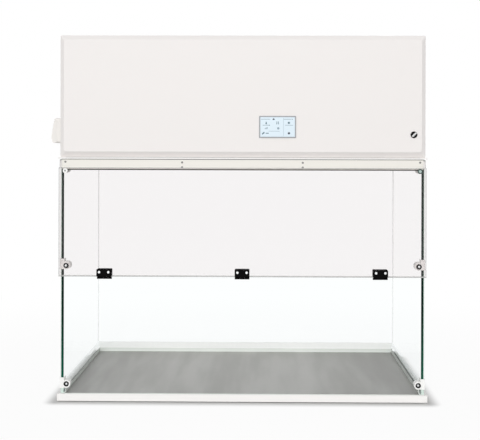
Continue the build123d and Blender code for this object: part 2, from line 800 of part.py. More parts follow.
with BuildPart() as lamp_tubes:
    tube_half_length = lamp_half_length - lamp_holder_length - seat_gap
    with BuildSketch(Plane.YZ.offset(-tube_half_length)):
        with Locations((-lamp_y, tube_z), (lamp_y, tube_z)):
            Circle(tube_radius)
    extrude(amount=2 * tube_half_length)
lamp_tubes.part.label = "lamp_tubes"
export_step(lamp_tubes.part, "parts/lamp_tubes.step")

# ---------------------------------------------------------------- filter

filter_z = housing_z + gasket_height

with BuildPart() as filter_gasket:
    with BuildSketch(Plane.XY.offset(housing_z)):
        with Locations((0, middle_y)):
            Rectangle(filter_width, filter_depth)
            gasket_hole = (filter_width - 2 * gasket_width, filter_depth - 2 * gasket_width)
            Rectangle(*gasket_hole, mode=Mode.SUBTRACT)
    extrude(amount=gasket_height)
filter_gasket.part.label = "filter_gasket"
export_step(filter_gasket.part, "parts/filter_gasket.step")

with BuildPart() as filter_frame:
    with BuildSketch(Plane.XY.offset(filter_z)):
        with Locations((0, middle_y)):
            Rectangle(filter_width, filter_depth)
            frame_hole = (filter_width - 2 * filter_wall, filter_depth - 2 * filter_wall)
            Rectangle(*frame_hole, mode=Mode.SUBTRACT)
    extrude(amount=filter_height)
filter_frame.part.label = "filter_frame"
export_step(filter_frame.part, "parts/filter_frame.step")

with BuildPart() as filter_media:
    media_half_width = filter_width / 2 - filter_wall - seat_gap
    media_half_depth = filter_depth / 2 - filter_wall - seat_gap
    pleat_step = media_half_width / pleat_count
    pleat_low = filter_z + (filter_height - pleat_height) / 2
    pleat_rise = pleat_height - pleat_paper
    lower_line = []
    for fold in range(2 * pleat_count + 1):
        fold_z = pleat_low + pleat_rise * (fold % 2)
        lower_line.append((-media_half_width + fold * pleat_step, fold_z))
    upper_line = [(x, z + pleat_paper) for x, z in reversed(lower_line)]
    with BuildSketch(facing_front(middle_y - media_half_depth)):
        with BuildLine():
            Polyline(*lower_line, *upper_line, close=True)
        make_face()
    extrude(amount=-2 * media_half_depth)
filter_media.part.label = "filter_media"
export_step(filter_media.part, "parts/filter_media.step")

# ---------------------------------------------------------------- inner panels

inner_x = (seat_gap - housing_inner, housing_inner - seat_gap)
inner_y = (inner_panel_back + seat_gap, back_panel_front - seat_gap)
panel_top = housing_top_z - housing_sheet

with BuildPart() as inner_front_panel:
    panel_z = (housing_z, panel_top - seat_gap)
    box_between(inner_x, (inner_panel_front, inner_panel_back), panel_z)
inner_front_panel.part.label = "inner_front_panel"
export_step(inner_front_panel.part, "parts/inner_front_panel.step")

with BuildPart() as fan_deck:
    fan_places = [(-fan_pitch / 2, middle_y), (fan_pitch / 2, middle_y)]
    box_between(inner_x, inner_y, (deck_z, deck_z + deck_sheet))
    with BuildSketch(Plane.XY.offset(deck_z + deck_sheet)):
        with Locations(*fan_places):
            Circle(inlet_radius + deck_sheet)
    extrude(amount=-inlet_depth)
    with BuildSketch(Plane.XY.offset(deck_z + deck_sheet)):
        with Locations(*fan_places):
            Circle(inlet_radius)
    extrude(amount=-inlet_depth, mode=Mode.SUBTRACT)
fan_deck.part.label = "fan_deck"
export_step(fan_deck.part, "parts/fan_deck.step")

# ---------------------------------------------------------------- fans

shroud_top = deck_z + deck_sheet - inlet_depth + inlet_overlap
blade_low = shroud_top - impeller_plate - blade_height
back_plate_low = blade_low - impeller_plate
hub_low = back_plate_low - hub_float
motor_top = hub_low - hub_float
motor_low = motor_top - motor_height
fan_foot_low = motor_low - fan_foot_thickness
fan_foot_half = fan_post_offset + fan_post_width / 2
blade_tip_radius = impeller_radius - blade_thickness

with BuildPart() as fan_frames:
    for x, y in fan_places:
        foot_x = (x - fan_foot_half, x + fan_foot_half)
        foot_y = (y - fan_foot_half, y + fan_foot_half)
        box_between(foot_x, foot_y, (fan_foot_low, motor_low))
        with BuildSketch(Plane.XY.offset(motor_low)):
            with Locations((x, y)):
                with GridLocations(2 * fan_post_offset, 2 * fan_post_offset, 2, 2):
                    Rectangle(fan_post_width, fan_post_width)
        extrude(amount=deck_z - motor_low)
fan_frames.part.label = "fan_frames"
export_step(fan_frames.part, "parts/fan_frames.step")

with BuildPart() as fan_motors:
    with BuildSketch(Plane.XY.offset(motor_low)):
        with Locations(*fan_places):
            Circle(motor_radius)
    extrude(amount=motor_height)
    fillet(fan_motors.edges().group_by(Axis.Z)[-1], motor_edge_radius)
    with BuildSketch(Plane.XY.offset(motor_top)):
        with Locations(*fan_places):
            Circle(shaft_radius)
    extrude(amount=shaft_length)
fan_motors.part.label = "fan_motors"
export_step(fan_motors.part, "parts/fan_motors.step")

for name, (x, y) in zip(("left_impeller", "right_impeller"), fan_places):
    with BuildPart() as impeller:
        with BuildSketch(Plane.XY.offset(hub_low)):
            with Locations((x, y)):
                Circle(hub_radius)
        extrude(amount=shaft_length)
        with BuildSketch(Plane.XY.offset(back_plate_low)):
            with Locations((x, y)):
                Circle(impeller_radius)
        extrude(amount=impeller_plate)
        with BuildSketch(Plane.XY.offset(blade_low)):
            for blade in range(blade_count):
                turn = blade * 360 / blade_count
                root = Vector(blade_inner_radius, 0).rotate(Axis.Z, turn)
                tip = Vector(blade_tip_radius, 0).rotate(Axis.Z, turn + blade_sweep)
                with BuildLine(mode=Mode.PRIVATE) as blade_line:
                    RadiusArc(Vector(x, y) + root, Vector(x, y) + tip, -blade_curve)
                trace(blade_line.line, line_width=blade_thickness)
        extrude(amount=blade_height)
        with BuildSketch(Plane.XY.offset(blade_low + blade_height)):
            with Locations((x, y)):
                Circle(impeller_radius)
                Circle(impeller_eye_radius, mode=Mode.SUBTRACT)
        extrude(amount=impeller_plate)
        with BuildSketch(Plane.XY.offset(hub_low)):
            with Locations((x, y)):
                Circle(shaft_radius + running_gap)
        extrude(amount=shaft_length, mode=Mode.SUBTRACT)
    impeller.part.label = name
    export_step(impeller.part, f"parts/{name}.step")

# ---------------------------------------------------------------- housing panels

for side, name in ((-1, "housing_left_panel"), (1, "housing_right_panel")):
    with BuildPart() as side_panel:
        sheet_x = on_side(side, housing_inner, housing_half_width)
        flange_x = on_side(side, housing_inner - housing_flange, housing_half_width)
        panel_z = (housing_z, panel_top)
        box_between(sheet_x, (-housing_half_depth, housing_half_depth), panel_z)
        box_between(flange_x, (-housing_half_depth, housing_sheet - housing_half_depth), panel_z)
        box_between(flange_x, (housing_half_depth - housing_sheet, housing_half_depth), panel_z)
    side_panel.part.label = name
    export_step(side_panel.part, f"parts/{name}.step")

inlet_z = ceiling_z + inlet_height

with BuildPart() as housing_back_panel:
    box_between(inner_x, (back_panel_front, back_panel_back), (housing_z, panel_top - seat_gap))
    hole_x = (inlet_x - inlet_body_width / 2 - seat_gap, inlet_x + inlet_body_width / 2 + seat_gap)
    hole_z = (inlet_z - inlet_body_height / 2 - seat_gap, inlet_z + inlet_body_height / 2 + seat_gap)
    box_between(hole_x, (back_panel_front, back_panel_back), hole_z, mode=Mode.SUBTRACT)
housing_back_panel.part.label = "housing_back_panel"
export_step(housing_back_panel.part, "parts/housing_back_panel.step")

with BuildPart() as housing_top_panel:
    with BuildSketch(Plane.XY.offset(panel_top)):
        Rectangle(2 * housing_half_width, 2 * housing_half_depth)
        with GridLocations(slot_pitch_x, slot_pitch_y, slot_columns, slot_rows):
            SlotOverall(slot_length, slot_width, mode=Mode.SUBTRACT)
    extrude(amount=housing_sheet)
housing_top_panel.part.label = "housing_top_panel"
export_step(housing_top_panel.part, "parts/housing_top_panel.step")

with BuildPart() as prefilter_tray:
    tray_top = panel_top - seat_gap
    with BuildSketch(Plane.XY.offset(tray_top - tray_height)):
        Rectangle(tray_width, tray_depth)
    extrude(amount=tray_height)
    with BuildSketch(Plane.XY.offset(tray_top - tray_height + tray_sheet)):
        Rectangle(tray_width - 2 * tray_sheet, tray_depth - 2 * tray_sheet)
    extrude(amount=tray_height, mode=Mode.SUBTRACT)
    with BuildSketch(Plane.XY.offset(tray_top - tray_height)):
        with GridLocations(tray_window_pitch, tray_window_pitch, tray_window_columns, tray_window_rows):
            Rectangle(tray_window, tray_window)
    extrude(amount=tray_sheet, mode=Mode.SUBTRACT)
prefilter_tray.part.label = "prefilter_tray"
export_step(prefilter_tray.part, "parts/prefilter_tray.step")

with BuildPart() as prefilter_pad:
    pad_width = tray_width - 2 * tray_sheet - 2 * seat_gap
    pad_depth = tray_depth - 2 * tray_sheet - 2 * seat_gap
    with BuildSketch(Plane.XY.offset(tray_top - tray_height + tray_sheet)):
        Rectangle(pad_width, pad_depth)
    extrude(amount=prefilter_thickness)
prefilter_pad.part.label = "prefilter_pad"
export_step(prefilter_pad.part, "parts/prefilter_pad.step")

# ---------------------------------------------------------------- front cover

cover_width = 2 * housing_half_width
cover_height = housing_top_z - cover_low_z
cover_middle_z = (cover_low_z + housing_top_z) / 2
face_width = cover_width - 2 * cover_side_bevel
face_height = cover_height - cover_top_bevel - cover_bottom_bevel
face_middle_z = cover_middle_z + (cover_bottom_bevel - cover_top_bevel) / 2
cover_rim_y = -housing_half_depth - cover_rim


def cover_form(inset, mode):
    """Add or cut the cover's bevelled form, made smaller all round by the inset."""
    rim_size = (cover_width - 2 * inset, cover_height - 2 * inset)
    with BuildSketch(facing_front(-housing_half_depth)) as rim:
        with Locations((0, cover_middle_z)):
            RectangleRounded(*rim_size, cover_corner_radius)
    extrude(rim.sketch, amount=cover_rim, mode=mode)
    with BuildSketch(facing_front(cover_rim_y)) as bevel_start:
        with Locations((0, cover_middle_z)):
            RectangleRounded(*rim_size, cover_corner_radius)
    with BuildSketch(facing_front(cover_face_y + inset)) as bevel_end:
        with Locations((0, face_middle_z)):
            RectangleRounded(face_width - 2 * inset, face_height - 2 * inset, cover_face_radius)
    loft([bevel_start.sketch, bevel_end.sketch], mode=mode)


display_body_width = display_width - 2 * (display_bezel + display_wall)
display_body_height = display_height - 2 * (display_bezel + display_wall)

with BuildPart() as front_cover:
    cover_form(0, Mode.ADD)
    face_edges = front_cover.faces().sort_by(Axis.Y)[0].edges()
    fillet(face_edges, cover_edge_radius)
    cover_form(cover_sheet, Mode.SUBTRACT)
    cut_x = (display_x - display_body_width / 2 - seat_gap, display_x + display_body_width / 2 + seat_gap)
    cut_z = (display_z - display_body_height / 2 - seat_gap, display_z + display_body_height / 2 + seat_gap)
    box_between(cut_x, (cover_face_y, cover_face_y + cover_sheet), cut_z, mode=Mode.SUBTRACT)
    holes_at([(switch_x, switch_z)], switch_neck_radius + seat_gap, cover_face_y, cover_sheet)
front_cover.part.label = "front_cover"
export_step(front_cover.part, "parts/front_cover.step")

# ---------------------------------------------------------------- display

display_front = cover_face_y - display_proud
screen_width = display_width - 2 * display_bezel
screen_height = display_height - 2 * display_bezel
screen_back = display_front + display_screen_thickness

with BuildPart() as display_housing:
    with BuildSketch(facing_front(cover_face_y)):
        with Locations((display_x, display_z)):
            RectangleRounded(display_width, display_height, display_corner_radius)
    extrude(amount=display_proud)
    with BuildSketch(facing_front(cover_face_y)):
        with Locations((display_x, display_z)):
            Rectangle(display_body_width, display_body_height)
    extrude(amount=-display_depth)
    with BuildSketch(facing_front(display_front)):
        with Locations((display_x, display_z)):
            Rectangle(screen_width + 2 * seat_gap, screen_height + 2 * seat_gap)
    extrude(amount=-display_screen_thickness, mode=Mode.SUBTRACT)
display_housing.part.label = "display_housing"
export_step(display_housing.part, "parts/display_housing.step")

with BuildPart() as display_screen:
    with BuildSketch(facing_front(screen_back)):
        with Locations((display_x, display_z)):
            Rectangle(screen_width, screen_height)
    extrude(amount=display_screen_thickness - seat_gap)
display_screen.part.label = "display_screen"
export_step(display_screen.part, "parts/display_screen.step")

# ---------------------------------------------------------------- main switch

switch_front = cover_face_y - switch_bezel_height

with BuildPart() as switch_body:
    with BuildSketch(facing_front(cover_face_y)):
        with Locations((switch_x, switch_z)):
            Circle(switch_bezel_radius)
    extrude(amount=switch_bezel_height)
    fillet(switch_body.edges().group_by(Axis.Y)[0], switch_bezel_height * small_round)
    with BuildSketch(facing_front(cover_face_y)):
        with Locations((switch_x, switch_z)):
            Circle(switch_neck_radius)
    extrude(amount=-cover_sheet - seat_gap)
    with BuildSketch(facing_front(cover_face_y + cover_sheet + seat_gap)):
        with Locations((switch_x, switch_z)):
            Rectangle(switch_block, switch_block)
    extrude(amount=-switch_block_depth)
    bore_depth = spindle_length + end_gap
    holes_at([(switch_x, switch_z)], spindle_radius + running_gap, switch_front, bore_depth)
switch_body.part.label = "switch_body"
export_step(switch_body.part, "parts/switch_body.step")

with BuildPart() as switch_knob:
    with BuildSketch(facing_front(switch_front - end_gap)):
        with Locations((switch_x, switch_z)):
            SlotOverall(knob_length, knob_width, rotation=90 + knob_turn)
    extrude(amount=knob_height)
    fillet(switch_knob.edges().group_by(Axis.Y)[0], knob_edge_radius)
    with BuildSketch(facing_front(switch_front - end_gap)):
        with Locations((switch_x, switch_z)):
            Circle(spindle_radius)
    extrude(amount=-spindle_length)
switch_knob.part.label = "switch_knob"
export_step(switch_knob.part, "parts/switch_knob.step")

# ---------------------------------------------------------------- mains socket

socket_face_x = -housing_half_width - socket_depth
socket_low_z = socket_z - socket_height / 2
socket_top_z = socket_z + socket_height / 2
lid_axis_x = socket_face_x - lid_knuckle_radius - seat_gap
lid_axis_z = socket_top_z - lid_axis_drop
socket_face = Plane(origin=(socket_face_x, socket_y, socket_z), x_dir=(0, -1, 0), z_dir=(-1, 0, 0))

with BuildPart() as socket_body:
    with BuildSketch(socket_face):
        RectangleRounded(socket_width, socket_height, socket_corner_radius)
    extrude(amount=-socket_depth)
    with BuildSketch(socket_face):
        Circle(socket_recess_radius)
    extrude(amount=-socket_recess_depth, mode=Mode.SUBTRACT)
    with BuildSketch(socket_face.offset(-socket_recess_depth)):
        with GridLocations(socket_pin_pitch, 0, 2, 1):
            Circle(socket_pin_hole_radius)
    extrude(amount=-socket_pin_hole_depth, mode=Mode.SUBTRACT)
    ear_inner = lid_knuckle_width / 2 + end_gap
    for side in (-1, 1):
        ear_y = sorted((socket_y + side * ear_inner, socket_y + side * (ear_inner + lid_ear_width)))
        with BuildSketch(facing_front(ear_y[0])):
            with Locations((lid_axis_x, lid_axis_z)):
                Circle(lid_knuckle_radius)
            ear_root = (lid_axis_x + socket_face_x) / 2
            with Locations((ear_root, lid_axis_z)):
                Rectangle(socket_face_x - lid_axis_x, 2 * lid_knuckle_radius)
        extrude(amount=-lid_ear_width)
    with BuildSketch(facing_front(socket_y - ear_inner)):
        with Locations((lid_axis_x, lid_axis_z)):
            Circle(lid_pin_radius)
    extrude(amount=-2 * ear_inner)
socket_body.part.label = "socket_body"
export_step(socket_body.part, "parts/socket_body.step")

lid_back_x = socket_face_x - seat_gap
lid_wall_x = lid_axis_x - lid_knuckle_radius
lid_top_z = lid_axis_z - lid_knuckle_radius - lid_edge_clear
lid_bulge_x = lid_back_x - lid_bulge_depth
lid_bulge_z = socket_low_z + lid_bulge_height
lid_lip_x = lid_bulge_x + lid_lip_depth
lid_outline = [
    (lid_back_x, lid_top_z),
    (lid_wall_x, lid_top_z),
    (lid_bulge_x, lid_bulge_z),
    (lid_lip_x, socket_low_z),
    (lid_back_x, socket_low_z),
]
lid_hollow = [
    (lid_back_x, lid_top_z - lid_thickness),
    (lid_wall_x + lid_thickness, lid_top_z - lid_thickness),
    (lid_bulge_x + lid_thickness, lid_bulge_z),
    (lid_lip_x + lid_thickness, socket_low_z + lid_thickness),
    (lid_back_x, socket_low_z + lid_thickness),
]

with BuildPart() as socket_lid:
    with BuildSketch(facing_front(socket_y - socket_width / 2)):
        with BuildLine():
            Polyline(*lid_outline, close=True)
        make_face()
    extrude(amount=-socket_width)
    outer_edges = socket_lid.edges().filter_by(Axis.Y).sort_by(Axis.X)
    fillet(outer_edges[:2], lid_round)
    with BuildSketch(facing_front(socket_y - socket_width / 2 + lid_thickness)):
        with BuildLine():
            Polyline(*lid_hollow, close=True)
        make_face()
    extrude(amount=2 * lid_thickness - socket_width, mode=Mode.SUBTRACT)
    with BuildSketch(facing_front(socket_y - lid_knuckle_width / 2)):
        with Locations((lid_axis_x, lid_axis_z)):
            Circle(lid_knuckle_radius)
        neck_z = (lid_axis_z + lid_top_z - lid_thickness) / 2
        with Locations((lid_wall_x + lid_thickness / 2, neck_z)):
            Rectangle(lid_thickness, lid_axis_z - lid_top_z + lid_thickness)
    extrude(amount=-lid_knuckle_width)
    with BuildSketch(facing_front(socket_y - lid_knuckle_width / 2)):
        with Locations((lid_axis_x, lid_axis_z)):
            Circle(lid_pin_radius + running_gap)
    extrude(amount=-lid_knuckle_width, mode=Mode.SUBTRACT)
socket_lid.part.label = "socket_lid"
export_step(socket_lid.part, "parts/socket_lid.step")

# ---------------------------------------------------------------- power inlet

with BuildPart() as power_inlet:
    flange_front = back_panel_back
    flange_back = flange_front + inlet_flange_thickness
    flange_x = (inlet_x - inlet_flange_width / 2, inlet_x + inlet_flange_width / 2)
    flange_z = (inlet_z - inlet_flange_height / 2, inlet_z + inlet_flange_height / 2)
    box_between(flange_x, (flange_front, flange_back), flange_z)
    fillet(power_inlet.edges().filter_by(Axis.Y), inlet_flange_thickness)
    body_x = (inlet_x - inlet_body_width / 2, inlet_x + inlet_body_width / 2)
    body_z = (inlet_z - inlet_body_height / 2, inlet_z + inlet_body_height / 2)
    box_between(body_x, (flange_back - inlet_body_depth, flange_front), body_z)
    with BuildSketch(facing_front(flange_back)):
        with Locations((inlet_x, inlet_z)):
            Rectangle(inlet_recess_width, inlet_recess_height)
    extrude(amount=inlet_recess_depth, mode=Mode.SUBTRACT)
    with BuildSketch(facing_front(flange_back - inlet_recess_depth)):
        for column, rise in ((-1, inlet_side_pin_z), (0, inlet_mid_pin_z), (1, inlet_side_pin_z)):
            with Locations((inlet_x + column * inlet_pin_pitch, inlet_z + rise)):
                Rectangle(inlet_pin_thickness, inlet_pin_width)
    extrude(amount=-inlet_pin_length)
power_inlet.part.label = "power_inlet"
export_step(power_inlet.part, "parts/power_inlet.step")

# ---------------------------------------------------------------- control board

with BuildPart() as control_board:
    board_back = inner_panel_front - board_standoff
    board_front = board_back - board_thickness
    with BuildSketch(facing_front(board_back)):
        with Locations((board_x, board_z)):
            Rectangle(board_width, board_height)
    extrude(amount=board_thickness)
    with BuildSketch(facing_front(inner_panel_front)):
        with Locations((board_x, board_z)):
            pitch_x = board_width - 2 * board_standoff_inset
            pitch_z = board_height - 2 * board_standoff_inset
            with GridLocations(pitch_x, pitch_z, 2, 2):
                Circle(board_standoff_radius)
    extrude(amount=board_standoff)
    with BuildSketch(facing_front(board_front)):
        blocks = ((relay_block, relay_place), (chip_block, chip_place), (plug_block, plug_place))
        for block, place in blocks:
            with Locations((board_x + place[0], board_z + place[1])):
                Rectangle(*block)
    extrude(amount=board_block_height)
control_board.part.label = "control_board"
export_step(control_board.part, "parts/control_board.step")
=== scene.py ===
import math

import bmesh
import bpy
from mathutils import Euler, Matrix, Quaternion, Vector


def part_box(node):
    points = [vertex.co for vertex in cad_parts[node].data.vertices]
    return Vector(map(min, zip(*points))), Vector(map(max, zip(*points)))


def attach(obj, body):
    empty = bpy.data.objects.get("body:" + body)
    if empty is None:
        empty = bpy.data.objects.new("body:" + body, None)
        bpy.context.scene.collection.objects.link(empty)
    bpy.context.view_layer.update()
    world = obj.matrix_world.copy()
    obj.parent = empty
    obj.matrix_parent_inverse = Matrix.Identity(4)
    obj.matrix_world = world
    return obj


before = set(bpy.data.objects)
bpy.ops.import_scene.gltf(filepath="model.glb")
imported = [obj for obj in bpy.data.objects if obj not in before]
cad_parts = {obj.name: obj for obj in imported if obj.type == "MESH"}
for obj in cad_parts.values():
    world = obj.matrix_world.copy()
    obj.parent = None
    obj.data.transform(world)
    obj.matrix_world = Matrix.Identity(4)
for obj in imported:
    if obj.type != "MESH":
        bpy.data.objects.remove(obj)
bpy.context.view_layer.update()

bl_info = {
    "name": "Laminar Flow Hood",
    "version": (1, 0, 0),
    "blender": (4, 5, 0),
    "location": "View3D > Sidebar > Hood",
    "description": "Finishes, seals and small trim of a vertical laminar flow hood",
    "category": "Object",
}

MM = 0.001                # metres

WHITE = (1.0, 1.0, 1.0, 1.0)
BLACK = (0.0, 0.0, 0.0, 1.0)

# How squarely glass faces sideways where its clear face ends and its cut edge begins
CUT_FACING = (0.95, 0.85)

# Places in a colour Mix node
MIX_FACTOR = 0
MIX_FIRST = 6
MIX_SECOND = 7
MIX_RESULT = 2


# --- colours and settings

def srgb(red, green, blue):
    """A screen colour, 0 to 255 in each channel, as the linear values that nodes take."""
    channels = []
    for screen in (red, green, blue):
        share = screen / 255
        low = share <= 0.04045
        channels.append(share / 12.92 if low else ((share + 0.055) / 1.055) ** 2.4)
    return (*channels, 1.0)


def shade(colour, amount):
    """The same colour, lighter or darker by a factor."""
    return (*(channel * amount for channel in colour[:3]), 1.0)


def colour_setting(name, description, red, green, blue):
    """A colour that a user may change."""
    return bpy.props.FloatVectorProperty(
        name=name,
        description=description,
        subtype="COLOR",
        size=4,
        min=0.0,
        max=1.0,
        default=srgb(red, green, blue),
    )


def length_setting(name, description, default):
    """A length that a user may change, in metres."""
    return bpy.props.FloatProperty(
        name=name, description=description, unit="LENGTH", precision=5, default=default
    )


def share_setting(name, description, default):
    """A share from 0 to 1 that a user may change."""
    return bpy.props.FloatProperty(
        name=name, description=description, subtype="FACTOR", min=0.0, max=1.0, default=default
    )


def number_setting(name, description, default):
    """A plain number that a user may change."""
    return bpy.props.FloatProperty(name=name, description=description, default=default)


def angle_setting(name, description, default):
    """An angle that a user may change, in radians."""
    return bpy.props.FloatProperty(
        name=name, description=description, subtype="ANGLE", default=default
    )


class HoodPaintSettings(bpy.types.PropertyGroup):
    """Powder coats and painted trim."""

    housing: colour_setting("Housing", "Powder coat of the fan housing and its cover", 243, 239, 237)
    base: colour_setting("Base", "Powder coat of the base and the ceiling plate", 250, 248, 246)
    strip: colour_setting("Strip", "Paint of the clamp strip over the front pane", 241, 238, 231)
    rail: colour_setting("Rails", "Rear glazing rail and ceiling bars", 249, 251, 249)
    side_rail: colour_setting("Side rails", "Milky plastic of the side glazing rails", 236, 252, 247)
    rail_clear: share_setting("Rail clearness", "Share of light that goes through a side rail", 0.78)
    peel: length_setting("Peel", "Width of a dimple in the powder coat", 1.6 * MM)
    zinc: colour_setting("Zinc", "Zinc-coated sheet inside the housing", 176, 180, 184)
    spangle: length_setting("Spangle", "Width of a crystal in the zinc coat", 9 * MM)


class HoodWorktopSettings(bpy.types.PropertyGroup):
    """Steel worktop."""

    steel: colour_setting("Steel", "Worktop's brushed top face", 172, 171, 168)
    cloud: colour_setting("Clouding", "Darker patches of the brushed face", 163, 162, 159)
    # Painted shade: the worktop's face is made darker beside the side walls.
    painted_side_shade: share_setting("Side shade", "How much darker the face is beside the walls", 0.2)
    # Painted light: the turned-up edges get a paler copy of the steel, standing in for the light they
    # catch.
    upstand_painted_light: colour_setting("Upstand", "Turned-up edges, which catch more light", 221, 226, 221)
    grain: length_setting("Grain", "Width of a brush line", 0.9 * MM)
    patch: length_setting("Patch", "Width of a cloudy patch", 70 * MM)


class HoodGlassSettings(bpy.types.PropertyGroup):
    """Glass walls and panes."""

    wall_tint: colour_setting("Wall tint", "What one face of a wall lets through", 254, 255, 255)
    pane_tint: colour_setting("Pane tint", "What one face of a front pane lets through", 253, 252, 252)
    wall_gleam: share_setting("Wall gleam", "Share of plain glass's gleam that a wall has", 0.15)
    pane_gleam: share_setting("Pane gleam", "Share of plain glass's gleam that a pane has", 0.6)
    core: colour_setting("Edge core", "Deep green of a wall's cut edge", 2, 30, 20)
    # Painted light: a lighter copy of the edge core near the worktop, where more light enters the glass.
    low_core_painted_light: colour_setting("Low core", "Edge core near the worktop, where more light enters", 14, 84, 64)
    # Painted highlight: the pale outer side of a side wall's cut edge. The back wall's cut edges also take
    # this colour.
    pale_edge: colour_setting("Pale edge", "Light side of a wall's cut edge", 214, 230, 222)
    pane_edge: colour_setting("Pane edge", "Polished edge of the front pane and the flap", 196, 198, 196)
    core_fade: length_setting("Core fade", "Height over which the core starts above the catches", 4 * MM)
    band: length_setting("Band", "How far in from its top and bottom edges a pane looks grey", 3.0 * MM)


class HoodFittingSettings(bpy.types.PropertyGroup):
    """Hinges, brackets, magnets and fasteners."""

    hinge: colour_setting("Hinges", "Black enamel of the flap's hinges", 9, 8, 8)
    screw: colour_setting("Screws", "Bright zinc of the screws", 214, 216, 216)
    strip_screw: colour_setting("Strip screws", "Dull zinc of the clamp strip's screws", 128, 128, 126)
    bracket: colour_setting("Brackets", "Moulded glass brackets", 252, 252, 250)
    rubber: colour_setting("Rubber", "Feet and washers", 18, 18, 19)
    magnet_rim: colour_setting("Magnet rim", "Dark rim of the catch magnets", 24, 24, 24)
    magnet: colour_setting("Magnets", "Plated face of the catch magnets", 176, 178, 177)
    strike_ring: colour_setting("Strike ring", "Rim of the bare strike", 38, 62, 56)
    strike_face: colour_setting("Strike face", "Face of the bare strike", 164, 178, 174)
    strike_dot: colour_setting("Strike dot", "Dimple of the covered strike", 136, 138, 138)


class HoodInnerSettings(bpy.types.PropertyGroup):
    """Lamps, filter, fans and the other pieces above the ceiling."""

    lamp: colour_setting("Lamp", "Opal glass of the lamp tubes", 244, 246, 246)
    lamp_cap: colour_setting("Lamp caps", "Aluminium caps of the lamp tubes", 205, 206, 208)
    diffuser: colour_setting("Diffuser", "Perforated sheet under the filter", 214, 216, 216)
    paper: colour_setting("Paper", "Pleated filter paper", 240, 238, 228)
    filter_frame: colour_setting("Filter frame", "Anodised frame of the filter", 190, 192, 194)
    gasket: colour_setting("Gasket", "Foam gasket under the filter", 92, 94, 96)
    motor: colour_setting("Motors", "Enamel of the fan motors", 58, 60, 64)
    impeller: colour_setting("Impellers", "Pressed metal of the impellers", 168, 172, 176)
    pad: colour_setting("Pad", "Fibre of the prefilter pad", 232, 232, 226)
    board: colour_setting("Board", "Solder mask of the control board", 24, 88, 54)
    cap_length: length_setting("Cap length", "Length of a lamp tube's cap", 7 * MM)
    cap_inset: length_setting("Cap inset", "From a tube's end to its cap's end", 0.2 * MM)
    cap_wall: length_setting("Cap wall", "How far a cap stands out from the tube", 0.4 * MM)


class HoodControlSettings(bpy.types.PropertyGroup):
    """Display, main switch and sockets."""

    display_frame: colour_setting("Display frame", "Satin frame of the display", 158, 160, 164)
    screen: colour_setting("Screen", "Lit ground of the display", 217, 233, 243)
    icon_dark: colour_setting("Dark icons", "Darkest marks on the screen", 26, 38, 62)
    icon_teal: colour_setting("Teal icons", "Mid marks on the screen", 66, 104, 118)
    icon_grey: colour_setting("Grey icons", "Lightest marks and lines on the screen", 132, 154, 168)
    switch: colour_setting("Switch", "Black body of the main switch", 14, 13, 13)
    knob: colour_setting("Knob", "Light bar of the main switch", 226, 226, 226)
    socket: colour_setting("Socket", "Moulded plastic of the mains socket", 238, 235, 231)
    mark_depth: length_setting("Mark depth", "Thickness of a mark on the screen", 0.08 * MM)


class HoodTrimSettings(bpy.types.PropertyGroup):
    """Seals and fasteners that are too small for the source."""

    joint: colour_setting("Joint seal", "Foam in the joint over the clamp strip", 84, 82, 76)
    joint_depth: length_setting("Joint depth", "Depth of the joint seal in front of the pane", 2.6 * MM)
    # Partly a real seal, partly painted shade: the lip's dark colour stands in for the strip's shadow on
    # the pane.
    lip: colour_setting("Lip seal", "Rubber lip under the clamp strip", 74, 72, 68)
    silicone: colour_setting("Silicone", "Corner seals of the glass walls", 236, 238, 237)
    # The lip's height is also set to cover the strip's shadow line, a painted shade.
    lip_height: length_setting("Lip height", "Height of the lip seal", 3.4 * MM)
    lip_depth: length_setting("Lip depth", "Depth of the lip seal in front of the pane", 2.4 * MM)
    seal_radius: length_setting("Seal radius", "Hollow of a corner seal", 3.0 * MM)
    seal_clear: share_setting("Seal clearness", "Share of light that goes through a corner seal", 0.6)
    seal_drop: length_setting("Seal drop", "From the top of the ceiling bars to a seal's end", 22 * MM)
    panel_screw_radius: length_setting("Screw radius", "Head of a back panel screw", 4.2 * MM)
    panel_screw_height: length_setting("Screw height", "Height of a back panel screw's head", 1.5 * MM)
    panel_screw_inset: length_setting("Screw inset", "From the panel's edge to its screws", 14 * MM)
    panel_screw_columns: bpy.props.IntProperty(
        name="Screw columns", description="Screws along the back panel", min=2, default=7
    )
    panel_screw_rows: bpy.props.IntProperty(
        name="Screw rows", description="Screws up each side of the back panel", min=2, default=4
    )


class HoodStudioSettings(bpy.types.PropertyGroup):
    """Camera, light and floor."""

    camera_place: bpy.props.FloatVectorProperty(
        name="Camera place",
        description="Where the camera stands",
        subtype="TRANSLATION",
        size=3,
        default=(0.0611, -3.1257, 0.8055),
    )
    camera_turn: angle_setting("Camera turn", "Turn of the camera to the left", 0.01008)
    camera_roll: angle_setting("Camera roll", "Roll of the camera", 0.00267)
    lens: number_setting("Lens", "Focal length on a 36 mm sensor, in millimetres", 64.47)
    shift_x: number_setting("Shift X", "Sideways lens shift", -0.02597)
    shift_y: number_setting("Shift Y", "Upward lens shift", -0.13329)
    sky: number_setting("Sky", "Strength of the soft light from the sides", 0.68)
    zenith: number_setting("Zenith", "Strength of the soft light from straight above", 0.44)
    key: number_setting("Key", "Strength of the soft key light", 1.44)
    key_height: angle_setting("Key height", "The key light's height", math.radians(18))
    key_side: angle_setting("Key side", "How far left the key light stands", math.radians(5))
    key_softness: angle_setting("Key softness", "Width of the key light", math.radians(34))
    floor: colour_setting("Floor", "Pale studio floor", 214, 214, 213)
    floor_radius: length_setting("Floor radius", "Radius of the floor", 14.0)
    # Painted shade: between these reaches the floor's plain white fades in, so the floor is darker next to
    # the hood.
    floor_near: length_setting("Shadow reach", "Where the floor's shadow has faded out", 1.6)
    floor_contact: length_setting("Contact shadow", "Reach of the dark gap under the hood", 0.05)
    floor_white: share_setting("Floor white", "Share of plain white in the floor near the hood", 0.95)


# --- nodes

